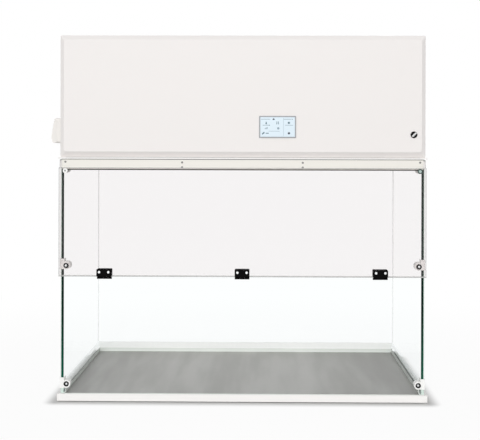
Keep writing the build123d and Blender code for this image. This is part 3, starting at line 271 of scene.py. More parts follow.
class Value:
    """A node's output. Arithmetic on it adds Math nodes."""

    def __init__(self, nodes, socket):
        self.nodes = nodes
        self.socket = socket

    def other(self, name):
        """Another output of the same node."""
        return Value(self.nodes, self.socket.node.outputs[name])

    def __add__(self, other):
        return self.nodes.math("ADD", self, other)

    def __radd__(self, other):
        return self.nodes.math("ADD", other, self)

    def __sub__(self, other):
        return self.nodes.math("SUBTRACT", self, other)

    def __rsub__(self, other):
        return self.nodes.math("SUBTRACT", other, self)

    def __mul__(self, other):
        return self.nodes.math("MULTIPLY", self, other)

    def __rmul__(self, other):
        return self.nodes.math("MULTIPLY", other, self)

    def __truediv__(self, other):
        return self.nodes.math("DIVIDE", self, other)

    def __rtruediv__(self, other):
        return self.nodes.math("DIVIDE", other, self)

    def __gt__(self, other):
        return self.nodes.math("GREATER_THAN", self, other)

    def __abs__(self):
        return self.nodes.math("ABSOLUTE", self)


class Nodes:
    """A material's or a world's nodes while they are added."""

    def __init__(self, owner):
        owner.use_nodes = True
        self.owner = owner
        self.tree = owner.node_tree
        self.tree.nodes.clear()

    def add(self, kind, settings=None, inputs=None, output=0):
        """Add a node: its settings first, then its sockets."""
        node = self.tree.nodes.new(kind)
        for name, value in (settings or {}).items():
            setattr(node, name, value)
        for name, value in (inputs or {}).items():
            if isinstance(value, Value):
                self.tree.links.new(value.socket, node.inputs[name])
            else:
                node.inputs[name].default_value = value
        return Value(self, node.outputs[output]) if node.outputs else None

    def math(self, operation, *values):
        return self.add("ShaderNodeMath", {"operation": operation}, dict(enumerate(values)))

    def largest(self, first, *others):
        for other in others:
            first = self.math("MAXIMUM", first, other)
        return first

    def place(self):
        """Where a point of the surface is on the piece, as three values."""
        point = self.add("ShaderNodeTexCoord", output="Object")
        across = self.add("ShaderNodeSeparateXYZ", inputs={0: point})
        return across, across.other("Y"), across.other("Z")

    def facing(self):
        """The way that the surface faces on the piece, as three values."""
        normal = self.add("ShaderNodeTexCoord", output="Normal")
        across = self.add("ShaderNodeSeparateXYZ", inputs={0: normal})
        return across, across.other("Y"), across.other("Z")

    def stretched(self, stretch):
        """The place on the piece, scaled along each axis."""
        point = self.add("ShaderNodeTexCoord", output="Object")
        return self.add("ShaderNodeVectorMath", {"operation": "MULTIPLY"}, {0: point, 1: stretch})

    def noise(self, width, detail=2.0, stretch=(1.0, 1.0, 1.0)):
        """Noise whose blobs are about this wide."""
        inputs = {"Vector": self.stretched(stretch), "Scale": 1 / width, "Detail": detail}
        return self.add("ShaderNodeTexNoise", inputs=inputs)

    def cells(self, width, stretch=(1.0, 1.0, 1.0), output="Distance"):
        """Cells about this wide."""
        inputs = {"Vector": self.stretched(stretch), "Scale": 1 / width}
        return self.add("ShaderNodeTexVoronoi", inputs=inputs, output=output)

    def step(self, value, low, high):
        """0 below low, 1 above high, smooth between."""
        return self.add(
            "ShaderNodeMapRange",
            {"interpolation_type": "SMOOTHSTEP"},
            {"Value": value, "From Min": low, "From Max": high},
        )

    def mix(self, factor, first, second):
        """First colour at 0, second at 1."""
        return self.add(
            "ShaderNodeMix",
            {"data_type": "RGBA"},
            {MIX_FACTOR: factor, MIX_FIRST: first, MIX_SECOND: second},
            MIX_RESULT,
        )

    def bump(self, height, distance, strength=1.0):
        return self.add(
            "ShaderNodeBump", inputs={"Strength": strength, "Distance": distance, "Height": height}
        )

    def principled(self, **inputs):
        """The main shader. An input's name is written with low lines for its spaces."""
        sockets = {name.replace("_", " "): value for name, value in inputs.items()}
        return self.add("ShaderNodeBsdfPrincipled", inputs=sockets)

    def surface(self, **inputs):
        """Finish a plain material with the main shader."""
        return self.show(self.principled(**inputs))

    def mixed_shader(self, factor, first, second):
        return self.add("ShaderNodeMixShader", inputs={0: factor, 1: first, 2: second})

    def show(self, shader):
        """Send the shader to the output and hand back the material or world."""
        kind = "World" if isinstance(self.owner, bpy.types.World) else "Material"
        self.add(f"ShaderNodeOutput{kind}", inputs={"Surface": shader})
        return self.owner


def new_finish(name):
    """Nodes of a new material."""
    return Nodes(bpy.data.materials.new(name))


def dress(material, *names):
    """Give CAD nodes their material."""
    for name in names:
        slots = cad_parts[name].material_slots
        if not slots:
            raise RuntimeError(f"{name} has no material slot")
        for slot in slots:
            slot.material = material


# --- finishes

def powder_coat(name, colour, peel, roughness=0.46):
    """Powder coat: an orange peel of shallow dimples over a faintly cloudy colour."""
    nodes = new_finish(name)
    clouds = nodes.noise(160 * MM, 3.0)
    grain = nodes.noise(peel, 3.0)
    tone = nodes.mix(clouds, shade(colour, 0.975), shade(colour, 1.0))
    speckled = nodes.mix(grain * 0.35, tone, shade(colour, 0.985))
    return nodes.surface(
        Base_Color=speckled,
        Roughness=roughness + 0.10 * (clouds - 0.5),
        Specular_IOR_Level=0.4,
        Normal=nodes.bump(grain, 0.05 * MM, 0.35),
    )


def moulded_plastic(name, colour, roughness=0.45, texture=0.5 * MM, gloss=0.5):
    """Moulded plastic with a fine spark-eroded texture and faint flow marks."""
    nodes = new_finish(name)
    flow = nodes.noise(12 * MM, 2.0, (1.0, 1.0, 0.3))
    grain = nodes.noise(texture, 2.0)
    return nodes.surface(
        Base_Color=nodes.mix(flow, shade(colour, 0.96), colour),
        Roughness=roughness + 0.12 * (grain - 0.5),
        Specular_IOR_Level=gloss,
        Normal=nodes.bump(grain, 0.03 * MM, 0.4),
    )


def outer_face(nodes):
    """1 where a face is seen from outside the piece, 0 from inside it."""
    return 1 - nodes.add("ShaderNodeNewGeometry", output="Backfacing")


def milky_plastic(name, colour, clear_share):
    """Drawn rail or bead: milky plastic that lets some light through."""
    nodes = new_finish(name)
    drawn = nodes.noise(1.2 * MM, 3.0, (1.0, 0.05, 1.0))
    body = nodes.principled(
        Base_Color=nodes.mix(drawn, shade(colour, 0.96), colour),
        Roughness=0.34 + 0.12 * (drawn - 0.5),
        Normal=nodes.bump(drawn, 0.02 * MM, 0.4),
    )
    through = nodes.add("ShaderNodeBsdfTransparent", inputs={"Color": WHITE})
    milk = outer_face(nodes) * (1 - clear_share)
    return nodes.show(nodes.mixed_shader(milk, through, body))


def bare_metal(name, colour, roughness, grain=0.4 * MM, stretch=(1.0, 1.0, 1.0)):
    """Plated or turned metal with fine tool lines."""
    nodes = new_finish(name)
    lines = nodes.noise(grain, 3.0, stretch)
    smears = nodes.noise(8 * MM, 2.0)
    return nodes.surface(
        Base_Color=nodes.mix(smears, shade(colour, 0.9), colour),
        Metallic=1.0,
        Roughness=roughness + 0.16 * (lines - 0.5),
        Normal=nodes.bump(lines, 0.01 * MM, 0.5),
    )


def zinc_sheet(name, colour, spangle):
    """Zinc-coated sheet with its spangle of crystals."""
    nodes = new_finish(name)
    crystal = nodes.cells(spangle, output="Color")
    tone = nodes.mix(crystal, shade(colour, 0.82), shade(colour, 1.06))
    return nodes.surface(
        Base_Color=tone,
        Metallic=0.85,
        Roughness=nodes.step(nodes.noise(spangle, 2.0), 0.2, 0.8) * 0.2 + 0.35,
        Normal=nodes.bump(nodes.noise(2 * MM, 2.0), 0.02 * MM, 0.3),
    )


def soft_rubber(name, colour):
    """Matt rubber with mould dust."""
    nodes = new_finish(name)
    dust = nodes.noise(3 * MM, 3.0)
    return nodes.surface(
        Base_Color=nodes.mix(nodes.step(dust, 0.45, 0.8), colour, shade(colour, 1.5)),
        Roughness=0.62 + 0.2 * (dust - 0.5),
        Specular_IOR_Level=0.15,
        Normal=nodes.bump(nodes.noise(0.4 * MM), 0.02 * MM, 0.4),
    )


def black_enamel(name, colour):
    """Stove enamel on the hinges: nearly black, with a soft shine and a few fine scratches."""
    nodes = new_finish(name)
    scratches = nodes.step(nodes.noise(0.5 * MM, 4.0, (0.08, 1.0, 1.0)), 0.62, 0.8)
    return nodes.surface(
        Base_Color=nodes.mix(scratches, colour, shade(colour, 2.6)),
        Roughness=0.42 + 0.2 * scratches,
        Specular_IOR_Level=0.03,
        Normal=nodes.bump(nodes.noise(0.7 * MM), 0.02 * MM, 0.35),
    )


def worktop_steel(settings):
    """Brushed steel: lines along the width and cloudy patches, with painted shade beside the walls and
    turned-up edges painted pale as painted light.
    """
    nodes = new_finish("worktop_steel")
    half_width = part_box("worktop")[1].x
    facing = nodes.facing()
    lines = nodes.noise(settings.grain, 3.0, (0.04, 1.0, 1.0))
    flecks = nodes.noise(4 * MM, 4.0, (0.6, 1.0, 1.0))
    patches = nodes.step(nodes.noise(settings.patch, 2.0, (1.0, 0.15, 1.0)), 0.3, 0.7)
    grey = nodes.mix(patches, settings.cloud, settings.steel)
    brushed = nodes.mix(lines * 0.18, grey, shade(settings.steel, 0.88))
    flecked = nodes.mix(nodes.step(flecks, 0.5, 0.75) * 0.25, brushed, shade(settings.steel, 1.08))
    # Painted shade: the face darkens towards the side walls.
    beside = nodes.step(abs(nodes.place()[0]), 0.45 * half_width, half_width)
    shaded = nodes.mix(beside * settings.painted_side_shade, flecked, BLACK)
    # Painted light: faces that don't face up take the paler upstand colour.
    top = nodes.step(facing[2], 0.4, 0.6)
    return nodes.surface(
        Base_Color=nodes.mix(top, settings.upstand_painted_light, shaded),
        Metallic=0.25 + 0.55 * top,
        Roughness=0.5 + 0.16 * (lines - 0.5) - 0.08 * patches,
        Normal=nodes.bump(lines, 0.005 * MM, 0.2),
    )


def clear_body(nodes, tint, gleam_share):
    """Clear glass seen through its faces: straight through, with a surface gleam on the near face."""
    gleam = nodes.add("ShaderNodeFresnel", inputs={"IOR": 1.45}) * outer_face(nodes) * gleam_share
    through = nodes.add("ShaderNodeBsdfTransparent", inputs={"Color": tint})
    mirror = nodes.add("ShaderNodeBsdfGlossy", inputs={"Color": WHITE, "Roughness": 0.03})
    return nodes.mixed_shader(gleam, through, mirror)


def glazed(nodes, shown, edge, tint, gleam_share):
    """Clear glass whose edges show where the mask is 1."""
    return nodes.show(nodes.mixed_shader(shown, clear_body(nodes, tint, gleam_share), edge))


def wall_glass(name, settings):
    """A side wall: clear faces, and cut edges that are deep green with a painted highlight along their
    pale outer side; painted light makes the green lighter near the worktop.
    """
    nodes = new_finish(name)
    lowest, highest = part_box(name)
    x, _, z = nodes.place()
    cut = nodes.step(abs(nodes.facing()[0]), *CUT_FACING) * outer_face(nodes)
    outside = max(abs(lowest.x), abs(highest.x))
    inward = (outside - abs(x)) / (highest.x - lowest.x)
    streaks = nodes.noise(9 * MM, 3.0, (1.0, 1.0, 0.12))
    # Painted light: the core turns to the lighter low colour near the worktop, and its streaks lean the
    # same way.
    low = nodes.step(z + 0.08 * streaks, 0.36, 0.06)
    green = nodes.mix(low, settings.core, settings.low_core_painted_light)
    streaked = nodes.mix(nodes.step(streaks, 0.5, 0.75) * 0.15, green, settings.low_core_painted_light)
    catch_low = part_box("catch_brackets")[0].z
    # Painted highlight: the outer part of the edge's thickness shows the pale colour instead of the core.
    deep = nodes.step(inward, 0.18, 0.30) * nodes.step(z, catch_low, catch_low + settings.core_fade)
    edge = nodes.principled(
        Base_Color=nodes.mix(deep, settings.pale_edge, streaked),
        Roughness=0.3 + 0.1 * streaks,
        Specular_IOR_Level=0.05,
    )
    return glazed(nodes, cut, edge, settings.wall_tint, settings.wall_gleam)


def back_wall_glass(settings):
    """The back wall: clear, with pale green cut edges."""
    nodes = new_finish("back_glass")
    cut = nodes.step(abs(nodes.facing()[1]), *CUT_FACING) * outer_face(nodes)
    streaks = nodes.noise(9 * MM, 3.0, (0.12, 1.0, 0.12))
    edge = nodes.principled(
        Base_Color=nodes.mix(streaks, settings.pale_edge, shade(settings.pale_edge, 0.7)),
        Roughness=0.2 + 0.1 * streaks,
    )
    return glazed(nodes, cut, edge, settings.wall_tint, settings.wall_gleam)


def pane_glass(name, settings):
    """The front pane or the flap: faintly grey, with grey polished edges."""
    nodes = new_finish(name)
    lowest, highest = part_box(name)
    z = nodes.place()[2]
    cut = nodes.step(abs(nodes.facing()[1]), *CUT_FACING)
    inset = nodes.math("MINIMUM", z - lowest.z, highest.z - z)
    near_edge = nodes.step(inset, settings.band, 0.4 * settings.band)
    marks = nodes.noise(20 * MM, 3.0)
    edge = nodes.principled(
        Base_Color=nodes.mix(marks, settings.pane_edge, shade(settings.pane_edge, 1.12)),
        Roughness=0.15 + 0.1 * marks,
    )
    shown = nodes.largest(cut * 0.85, near_edge * 0.42)
    return glazed(nodes, shown, edge, settings.pane_tint, settings.pane_gleam)


def disc_reach(nodes, name):
    """0 at the middle of either disc of a mirrored pair, 1 at its rim."""
    lowest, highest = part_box(name)
    radius = (highest.z - lowest.z) / 2
    x, _, z = nodes.place()
    dx = abs(x) - (highest.x - radius)
    dz = z - (highest.z + lowest.z) / 2
    return nodes.math("SQRT", dx * dx + dz * dz) / radius


def magnet_finish(settings):
    """The catch magnets: a plated face in a dark rim."""
    nodes = new_finish("magnet_steel")
    rim = nodes.step(disc_reach(nodes, "catch_magnets"), 0.32, 0.5)
    return nodes.surface(
        Base_Color=nodes.mix(rim, settings.magnet, settings.magnet_rim),
        Metallic=0.6 - 0.6 * rim,
        Roughness=0.34 + 0.12 * nodes.noise(2 * MM),
        Specular_IOR_Level=0.1,
    )


def strike_finish(settings):
    """The flap's two strikes: one under a white cap with a dimple, the other bare."""
    nodes = new_finish("flap_strikes")
    reach = disc_reach(nodes, "flap_strikes")
    bare = nodes.mix(nodes.step(reach, 0.5, 0.66), settings.strike_face, settings.strike_ring)
    capped = nodes.mix(nodes.step(reach, 0.45, 0.3), settings.bracket, settings.strike_dot)
    right = nodes.place()[0] > 0.0
    return nodes.surface(
        Base_Color=nodes.mix(right, capped, bare),
        Metallic=right * 0.4,
        Roughness=0.34 + 0.12 * nodes.noise(2 * MM),
    )


def opal_tube(colour):
    """Opal glass of a lamp tube, a little uneven in its coating."""
    nodes = new_finish("lamp_glass")
    coating = nodes.noise(40 * MM, 2.0, (0.3, 1.0, 1.0))
    return nodes.surface(
        Base_Color=nodes.mix(coating, shade(colour, 0.95), colour),
        Roughness=0.12 + 0.08 * coating,
        Coat_Weight=0.4,
    )


def pleated_paper(colour):
    """Filter paper: short felted fibres."""
    nodes = new_finish("filter_paper")
    fibres = nodes.noise(0.6 * MM, 4.0, (0.2, 1.0, 1.0))
    return nodes.surface(
        Base_Color=nodes.mix(fibres, shade(colour, 0.88), colour),
        Roughness=0.85 + 0.1 * (fibres - 0.5),
        Normal=nodes.bump(fibres, 0.1 * MM, 0.6),
    )


def open_foam(name, colour, pore):
    """Foam or fibre pad: open pores between soft walls."""
    nodes = new_finish(name)
    pores = nodes.cells(pore)
    return nodes.surface(
        Base_Color=nodes.mix(nodes.step(pores, 0.2, 0.7), shade(colour, 0.7), colour),
        Roughness=0.9 - 0.1 * pores,
        Normal=nodes.bump(pores, 0.5 * MM, 0.7),
    )


def lit_marks(name, colour):
    """A lit part of the screen, with its fine raster of dots."""
    nodes = new_finish(name)
    raster = nodes.noise(0.5 * MM, 1.0)
    return nodes.surface(
        Base_Color=(0.01, 0.01, 0.012, 1.0),
        Roughness=0.22 + 0.06 * raster,
        Emission_Color=nodes.mix(raster * 0.5, colour, shade(colour, 0.9)),
        Emission_Strength=0.95,
    )


def solder_mask(colour):
    """The control board: green lacquer over copper tracks."""
    nodes = new_finish("board_green")
    tracks = nodes.step(nodes.cells(5 * MM, (1.0, 1.0, 0.35)), 0.42, 0.46)
    return nodes.surface(
        Base_Color=nodes.mix(tracks, colour, shade(colour, 1.7)),
        Roughness=0.3 + 0.1 * tracks,
        Normal=nodes.bump(tracks, 0.05 * MM, 0.5),
    )


# --- mesh helpers

def new_piece(name, shape, material):
    """Turn finished mesh work into a piece that rides on the hood."""
    bmesh.ops.recalc_face_normals(shape, faces=shape.faces[:])
    mesh = bpy.data.meshes.new(name)
    shape.to_mesh(mesh)
    shape.free()
    mesh.materials.append(material)
    piece = bpy.data.objects.new(name, mesh)
    bpy.context.scene.collection.objects.link(piece)
    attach(piece, "hood")
    return piece


def add_prism(shape, outline, along, start, end):
    """Add a closed prism: a flat outline of points, pushed along an axis from start to end."""
    rings = []
    for place in (start, end):
        ring = []
        for first, second in outline:
            point = [first, second]
            point.insert(along, place)
            ring.append(shape.verts.new(point))
        rings.append(ring)
    shape.faces.new(rings[0])
    shape.faces.new(reversed(rings[1]))
    for index in range(len(outline)):
        following = (index + 1) % len(outline)
        low, high = rings
        shape.faces.new((low[index], low[following], high[following], high[index]))


def add_lathe(shape, centre, along, profile, sides=32, radius_at=None):
    """Add a turned form round an axis. Its profile gives places along the axis and radii.

    radius_at changes a ring's radius with its angle, which makes a socket with flat sides.
    """
    rings = []
    for step, (place, radius) in enumerate(profile):
        ring = []
        for side in range(sides):
            angle = 2 * math.pi * side / sides
            reach = radius_at(step, radius, angle) if radius_at else radius
            point = [reach * math.cos(angle), reach * math.sin(angle)]
            point.insert(along, place)
            ring.append(shape.verts.new(Vector(centre) + Vector(point)))
        rings.append(ring)
    for low, high in zip(rings, rings[1:]):
        for side in range(sides):
            following = (side + 1) % sides
            shape.faces.new((low[side], low[following], high[following], high[side]))
    shape.faces.new(rings[0])
    shape.faces.new(reversed(rings[-1]))


def circle(x, z, radius, sides=28):
    """Outline of a disc."""
    angles = [2 * math.pi * side / sides for side in range(sides)]
    return [(x + radius * math.cos(angle), z + radius * math.sin(angle)) for angle in angles]


def bar(x, z, width, height, turn=0.0):
    """Outline of a bar with round ends, turned about its middle."""
    radius = min(width, height) / 2
    ends = 8
    points = []
    for quarter, (side, level) in enumerate(((1, 1), (-1, 1), (-1, -1), (1, -1))):
        for step in range(ends + 1):
            angle = math.pi / 2 * (quarter + step / ends)
            along = side * (width / 2 - radius) + radius * math.cos(angle)
            up = level * (height / 2 - radius) + radius * math.sin(angle)
            points.append((along, up))
    cos, sin = math.cos(turn), math.sin(turn)
    turned = [(x + cos * along - sin * up, z + sin * along + cos * up) for along, up in points]
    return [point for point, following in zip(turned, turned[1:] + turned[:1]) if point != following]


def drop(x, z, size):
    """Outline of a water drop with its tip up."""
    sides = 28
    points = []
    for side in range(sides):
        angle = 2 * math.pi * side / sides
        narrow = math.sin(angle / 2) ** 1.6
        points.append((x + 0.75 * size * math.sin(angle) * narrow, z + size * math.cos(angle)))
    return points


# --- pieces

class HoodPiece:
    """What the operators share."""

    bl_options = {"REGISTER", "UNDO"}


class HOOD_OT_paint_sheet_metal(HoodPiece, bpy.types.Operator):
    """Paint the housing, the base and the trim, and zinc-coat the inner sheets."""

    bl_idname = "hood.paint_sheet_metal"
    bl_label = "Sheet metal"

    def execute(self, context):
        settings = context.scene.hood_paint
        housing = powder_coat("housing_paint", settings.housing, settings.peel)
        dress(housing, "front_cover", "housing_left_panel", "housing_right_panel")
        dress(housing, "housing_back_panel", "housing_top_panel")
        base = powder_coat("base_paint", settings.base, settings.peel)
        dress(base, "base_tray", "ceiling_plate")
        strip = powder_coat("strip_paint", settings.strip, 0.7 * settings.peel, 0.4)
        dress(strip, "clamp_strip")
        rails = moulded_plastic("rail_white", settings.rail, 0.36, 0.8 * MM)
        dress(rails, "rear_glass_rail", "ceiling_bars", "lamp_battens")
        side_rails = milky_plastic("side_rail_milky", settings.side_rail, settings.rail_clear)
        dress(side_rails, "left_glass_rail", "right_glass_rail")
        zinc = zinc_sheet("inner_sheet", settings.zinc, settings.spangle)
        dress(zinc, "inner_front_panel", "fan_deck", "fan_frames", "prefilter_tray")
        return {"FINISHED"}


class HOOD_OT_finish_worktop(HoodPiece, bpy.types.Operator):
    """Give the worktop its brushed steel."""

    bl_idname = "hood.finish_worktop"
    bl_label = "Worktop"

    def execute(self, context):
        dress(worktop_steel(context.scene.hood_worktop), "worktop")
        return {"FINISHED"}


class HOOD_OT_glaze_chamber(HoodPiece, bpy.types.Operator):
    """Glaze the walls, the front pane and the flap."""

    bl_idname = "hood.glaze_chamber"
    bl_label = "Glass"

    def execute(self, context):
        settings = context.scene.hood_glass
        for name in ("left_side_glass", "right_side_glass"):
            dress(wall_glass(name, settings), name)
        dress(back_wall_glass(settings), "back_glass")
        for name in ("upper_front_pane", "front_flap"):
            dress(pane_glass(name, settings), name)
        return {"FINISHED"}


class HOOD_OT_finish_hinges(HoodPiece, bpy.types.Operator):
    """Enamel the flap's hinges and plate their pins and screws."""

    bl_idname = "hood.finish_hinges"
    bl_label = "Hinges"

    def execute(self, context):
        settings = context.scene.hood_fittings
        enamel = black_enamel("hinge_black", settings.hinge)
        for place in ("left", "centre", "right"):
            dress(enamel, f"{place}_hinge_fixed_leaf", f"{place}_hinge_flap_leaf")
        dress(enamel, "fixed_hinge_plates", "flap_hinge_plates")
        screws = bare_metal("screw_steel", settings.screw, 0.34)
        dress(screws, "hinge_pins", "fixed_hinge_screws", "flap_hinge_screws")
        dress(screws, "bracket_screws")
        dress(bare_metal("strip_screw_dull", settings.strip_screw, 0.5), "strip_screws")
        return {"FINISHED"}


class HOOD_OT_finish_brackets(HoodPiece, bpy.types.Operator):
    """Finish the glass brackets, washers, magnets, strikes and feet."""

    bl_idname = "hood.finish_brackets"
    bl_label = "Brackets and catches"

    def execute(self, context):
        settings = context.scene.hood_fittings
        plastic = moulded_plastic("bracket_white", settings.bracket)
        dress(plastic, "top_brackets", "mid_brackets", "catch_brackets")
        dress(soft_rubber("black_rubber", settings.rubber), "pane_washers", "base_feet")
        dress(magnet_finish(settings), "catch_magnets")
        dress(strike_finish(settings), "flap_strikes")
        return {"FINISHED"}


class HOOD_OT_finish_lamps(HoodPiece, bpy.types.Operator):
    """Finish the lamp tubes and put a metal cap on each end of each tube."""

    bl_idname = "hood.finish_lamps"
    bl_label = "Lamps"

    def execute(self, context):
        settings = context.scene.hood_inner
        dress(opal_tube(settings.lamp), "lamp_tubes")
        lowest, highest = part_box("lamp_tubes")
        radius = (highest.z - lowest.z) / 2
        level = (highest.z + lowest.z) / 2
        outer = radius + settings.cap_wall
        shape = bmesh.new()
        for y in (lowest.y + radius, highest.y - radius):
            for side in (-1, 1):
                end = side * (highest.x - settings.cap_inset)
                inner = end - side * settings.cap_length
                rim = inner + side * settings.cap_wall
                lip = end - side * settings.cap_wall
                profile = ((inner, radius + 0.02 * MM), (rim, outer), (lip, outer), (end, radius))
                add_lathe(shape, (0, y, level), 0, profile)
        caps = bare_metal("lamp_cap", settings.lamp_cap, 0.3)
        new_piece("lamp_tube_caps", shape, caps)
        return {"FINISHED"}


class HOOD_OT_finish_filter(HoodPiece, bpy.types.Operator):
    """Finish the filter, its gasket and the diffuser under it."""

    bl_idname = "hood.finish_filter"
    bl_label = "Filter and diffuser"

    def execute(self, context):
        settings = context.scene.hood_inner
        dress(pleated_paper(settings.paper), "filter_media")
        drawn = {"grain": 0.5 * MM, "stretch": (0.1, 1.0, 1.0)}
        dress(bare_metal("filter_frame", settings.filter_frame, 0.42, **drawn), "filter_frame")
        dress(open_foam("gasket_foam", settings.gasket, 1.2 * MM), "filter_gasket")
        dress(bare_metal("diffuser_metal", settings.diffuser, 0.45, **drawn), "diffuser_sheet")
        return {"FINISHED"}


class HOOD_OT_finish_fans(HoodPiece, bpy.types.Operator):
    """Finish the fans, the prefilter pad and the control board."""

    bl_idname = "hood.finish_fans"
    bl_label = "Fans and board"

    def execute(self, context):
        settings = context.scene.hood_inner
        dress(moulded_plastic("motor_enamel", settings.motor, 0.4), "fan_motors")
        dress(bare_metal("impeller_metal", settings.impeller, 0.4), "left_impeller", "right_impeller")
        dress(open_foam("pad_fibre", settings.pad, 2.5 * MM), "prefilter_pad")
        dress(solder_mask(settings.board), "control_board")
        return {"FINISHED"}


class HOOD_OT_finish_controls(HoodPiece, bpy.types.Operator):
    """Finish the display's frame and screen, the main switch, the mains socket and the inlet."""

    bl_idname = "hood.finish_controls"
    bl_label = "Controls and sockets"

    def execute(self, context):
        settings = context.scene.hood_controls
        dress(moulded_plastic("frame_grey", settings.display_frame, 0.4), "display_housing")
        dress(lit_marks("screen_glass", settings.screen), "display_screen")
        black = moulded_plastic("switch_black", settings.switch, 0.34, gloss=0.1)
        dress(black, "switch_body", "power_inlet")
        dress(moulded_plastic("knob_light", settings.knob, 0.35), "switch_knob")
        dress(moulded_plastic("socket_plastic", settings.socket, 0.42), "socket_body", "socket_lid")
        return {"FINISHED"}


class HOOD_OT_draw_screen_marks(HoodPiece, bpy.types.Operator):
    """Draw the screen's icons and lines as thin raised marks."""

    bl_idname = "hood.draw_screen_marks"
    bl_label = "Screen marks"

    def execute(self, context):
        settings = context.scene.hood_controls
        lowest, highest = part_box("display_screen")
        width = highest.x - lowest.x
        height = highest.z - lowest.z
        front = lowest.y - settings.mark_depth

        def place(across, down):
            return lowest.x + across * width, highest.z - down * height

        def draw(name, outlines, colour):
            shape = bmesh.new()
            for outline in outlines:
                add_prism(shape, outline, 1, front, lowest.y)
            new_piece(name, shape, lit_marks(name, colour))

        small = 0.027 * width
        dark = [
            circle(*place(0.385, 0.10), 0.9 * small),
            bar(*place(0.385, 0.125), 2.6 * small, 0.6 * small),
            circle(*place(0.828, 0.82), 1.3 * small),
        ]
        teal = [
            drop(*place(0.17, 0.29), 1.6 * small),
            circle(*place(0.825, 0.29), 1.2 * small),
            bar(*place(0.085, 0.82), 3.4 * small, 1.5 * small, 0.7),
            bar(*place(0.20, 0.82), 3.6 * small, 0.9 * small),
            bar(*place(0.17, 0.41), 8.0 * small, 0.45 * small),
            circle(*place(0.262, 0.41), 0.5 * small),
        ]
        spread = 0.85 * small
        for column in (-1, 1):
            for row in (-1, 1):
                x, z = place(0.50, 0.295)
                teal.append(bar(x + column * spread, z + row * spread, 1.2 * small, 1.2 * small))
        grey = [
            bar(*place(0.67, 0.5), 0.25 * small, 0.92 * height),
            bar(*place(0.15, 0.105), 10.0 * small, 0.6 * small),
            bar(*place(0.78, 0.105), 8.0 * small, 0.6 * small),
            bar(*place(0.92, 0.105), 1.2 * small, 1.2 * small),
            bar(*place(0.83, 0.41), 9.0 * small, 0.5 * small),
            bar(*place(0.40, 0.715), 12.0 * small, 0.4 * small),
            bar(*place(0.52, 0.57), 2.6 * small, 2.6 * small),
        ]
        for stave in range(3):
            x, z = place(0.17, 0.57)
            tall = (1.4 + 0.6 * stave) * small
            grey.append(bar(x + (stave - 1) * 1.1 * small, z - small + tall / 2, 0.7 * small, tall))
        draw("screen_marks_dark", dark, settings.icon_dark)
        draw("screen_marks_teal", teal, settings.icon_teal)
        draw("screen_marks_grey", grey, settings.icon_grey)
        return {"FINISHED"}


class HOOD_OT_add_lip_seal(HoodPiece, bpy.types.Operator):
    """Add the rubber lip that closes the clamp strip's lower edge against the pane. Its dark colour and
    height also stand in for the strip's shadow on the pane, a painted shade.
    """

    bl_idname = "hood.add_lip_seal"
    bl_label = "Lip seal"

    def execute(self, context):
        settings = context.scene.hood_trim
        lowest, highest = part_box("clamp_strip")
        pane_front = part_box("upper_front_pane")[0].y
        top = lowest.z
        low = top - settings.lip_height
        front = pane_front - settings.lip_depth
        outline = [
            (pane_front, top),
            (front, top),
            (front, top - 0.5 * settings.lip_height),
            (pane_front - 0.35 * settings.lip_depth, low),
            (pane_front, low),
        ]
        shape = bmesh.new()
        add_prism(shape, outline, 0, lowest.x, highest.x)
        bmesh.ops.bevel(shape, geom=shape.edges[:], offset=0.15 * MM, segments=2, affect="EDGES")
        # Painted shade: the dark rubber also stands in for the strip's shadow on the pane.
        new_piece("strip_lip_seal_and_painted_shade", shape, soft_rubber("lip_rubber_and_painted_shade", settings.lip))
        return {"FINISHED"}


class HOOD_OT_add_joint_seal(HoodPiece, bpy.types.Operator):
    """Fill the joint between the clamp strip and the ceiling plate with a strip of foam."""

    bl_idname = "hood.add_joint_seal"
    bl_label = "Joint seal"

    def execute(self, context):
        settings = context.scene.hood_trim
        lowest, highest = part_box("clamp_strip")
        plate_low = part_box("ceiling_plate")[0].z
        pane_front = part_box("upper_front_pane")[0].y
        front = pane_front - settings.joint_depth
        crown = 0.3 * (plate_low - highest.z)
        outline = [
            (pane_front, highest.z),
            (front + crown, highest.z),
            (front, highest.z + crown),
            (front, plate_low - crown),
            (front + crown, plate_low),
            (pane_front, plate_low),
        ]
        shape = bmesh.new()
        add_prism(shape, outline, 0, lowest.x, highest.x)
        foam = open_foam("joint_foam", settings.joint, 0.8 * MM)
        new_piece("strip_joint_seal", shape, foam)
        return {"FINISHED"}


class HOOD_OT_add_corner_seals(HoodPiece, bpy.types.Operator):
    """Run a hollow bead of silicone up each back corner of the glass."""

    bl_idname = "hood.add_corner_seals"
    bl_label = "Corner seals"

    def execute(self, context):
        settings = context.scene.hood_trim
        radius = settings.seal_radius
        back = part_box("back_glass")[0].y
        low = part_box("rear_glass_rail")[1].z
        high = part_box("ceiling_bars")[1].z - settings.seal_drop
        silicone = milky_plastic("silicone", settings.silicone, settings.seal_clear)
        arc_steps = 8
        for side, name, wall in ((-1, "left", "left_side_glass"), (1, "right", "right_side_glass")):
            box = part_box(wall)
            inner = box[0].x if side > 0 else box[1].x
            outline = [(inner, back)]
            for step in range(arc_steps + 1):
                angle = math.pi / 2 * step / arc_steps
                x = inner - side * radius * (1 - math.cos(angle))
                y = back - radius * (1 - math.sin(angle))
                outline.append((x, y))
            shape = bmesh.new()
            add_prism(shape, outline, 2, low, high)
            new_piece(f"{name}_corner_seal", shape, silicone)
        return {"FINISHED"}


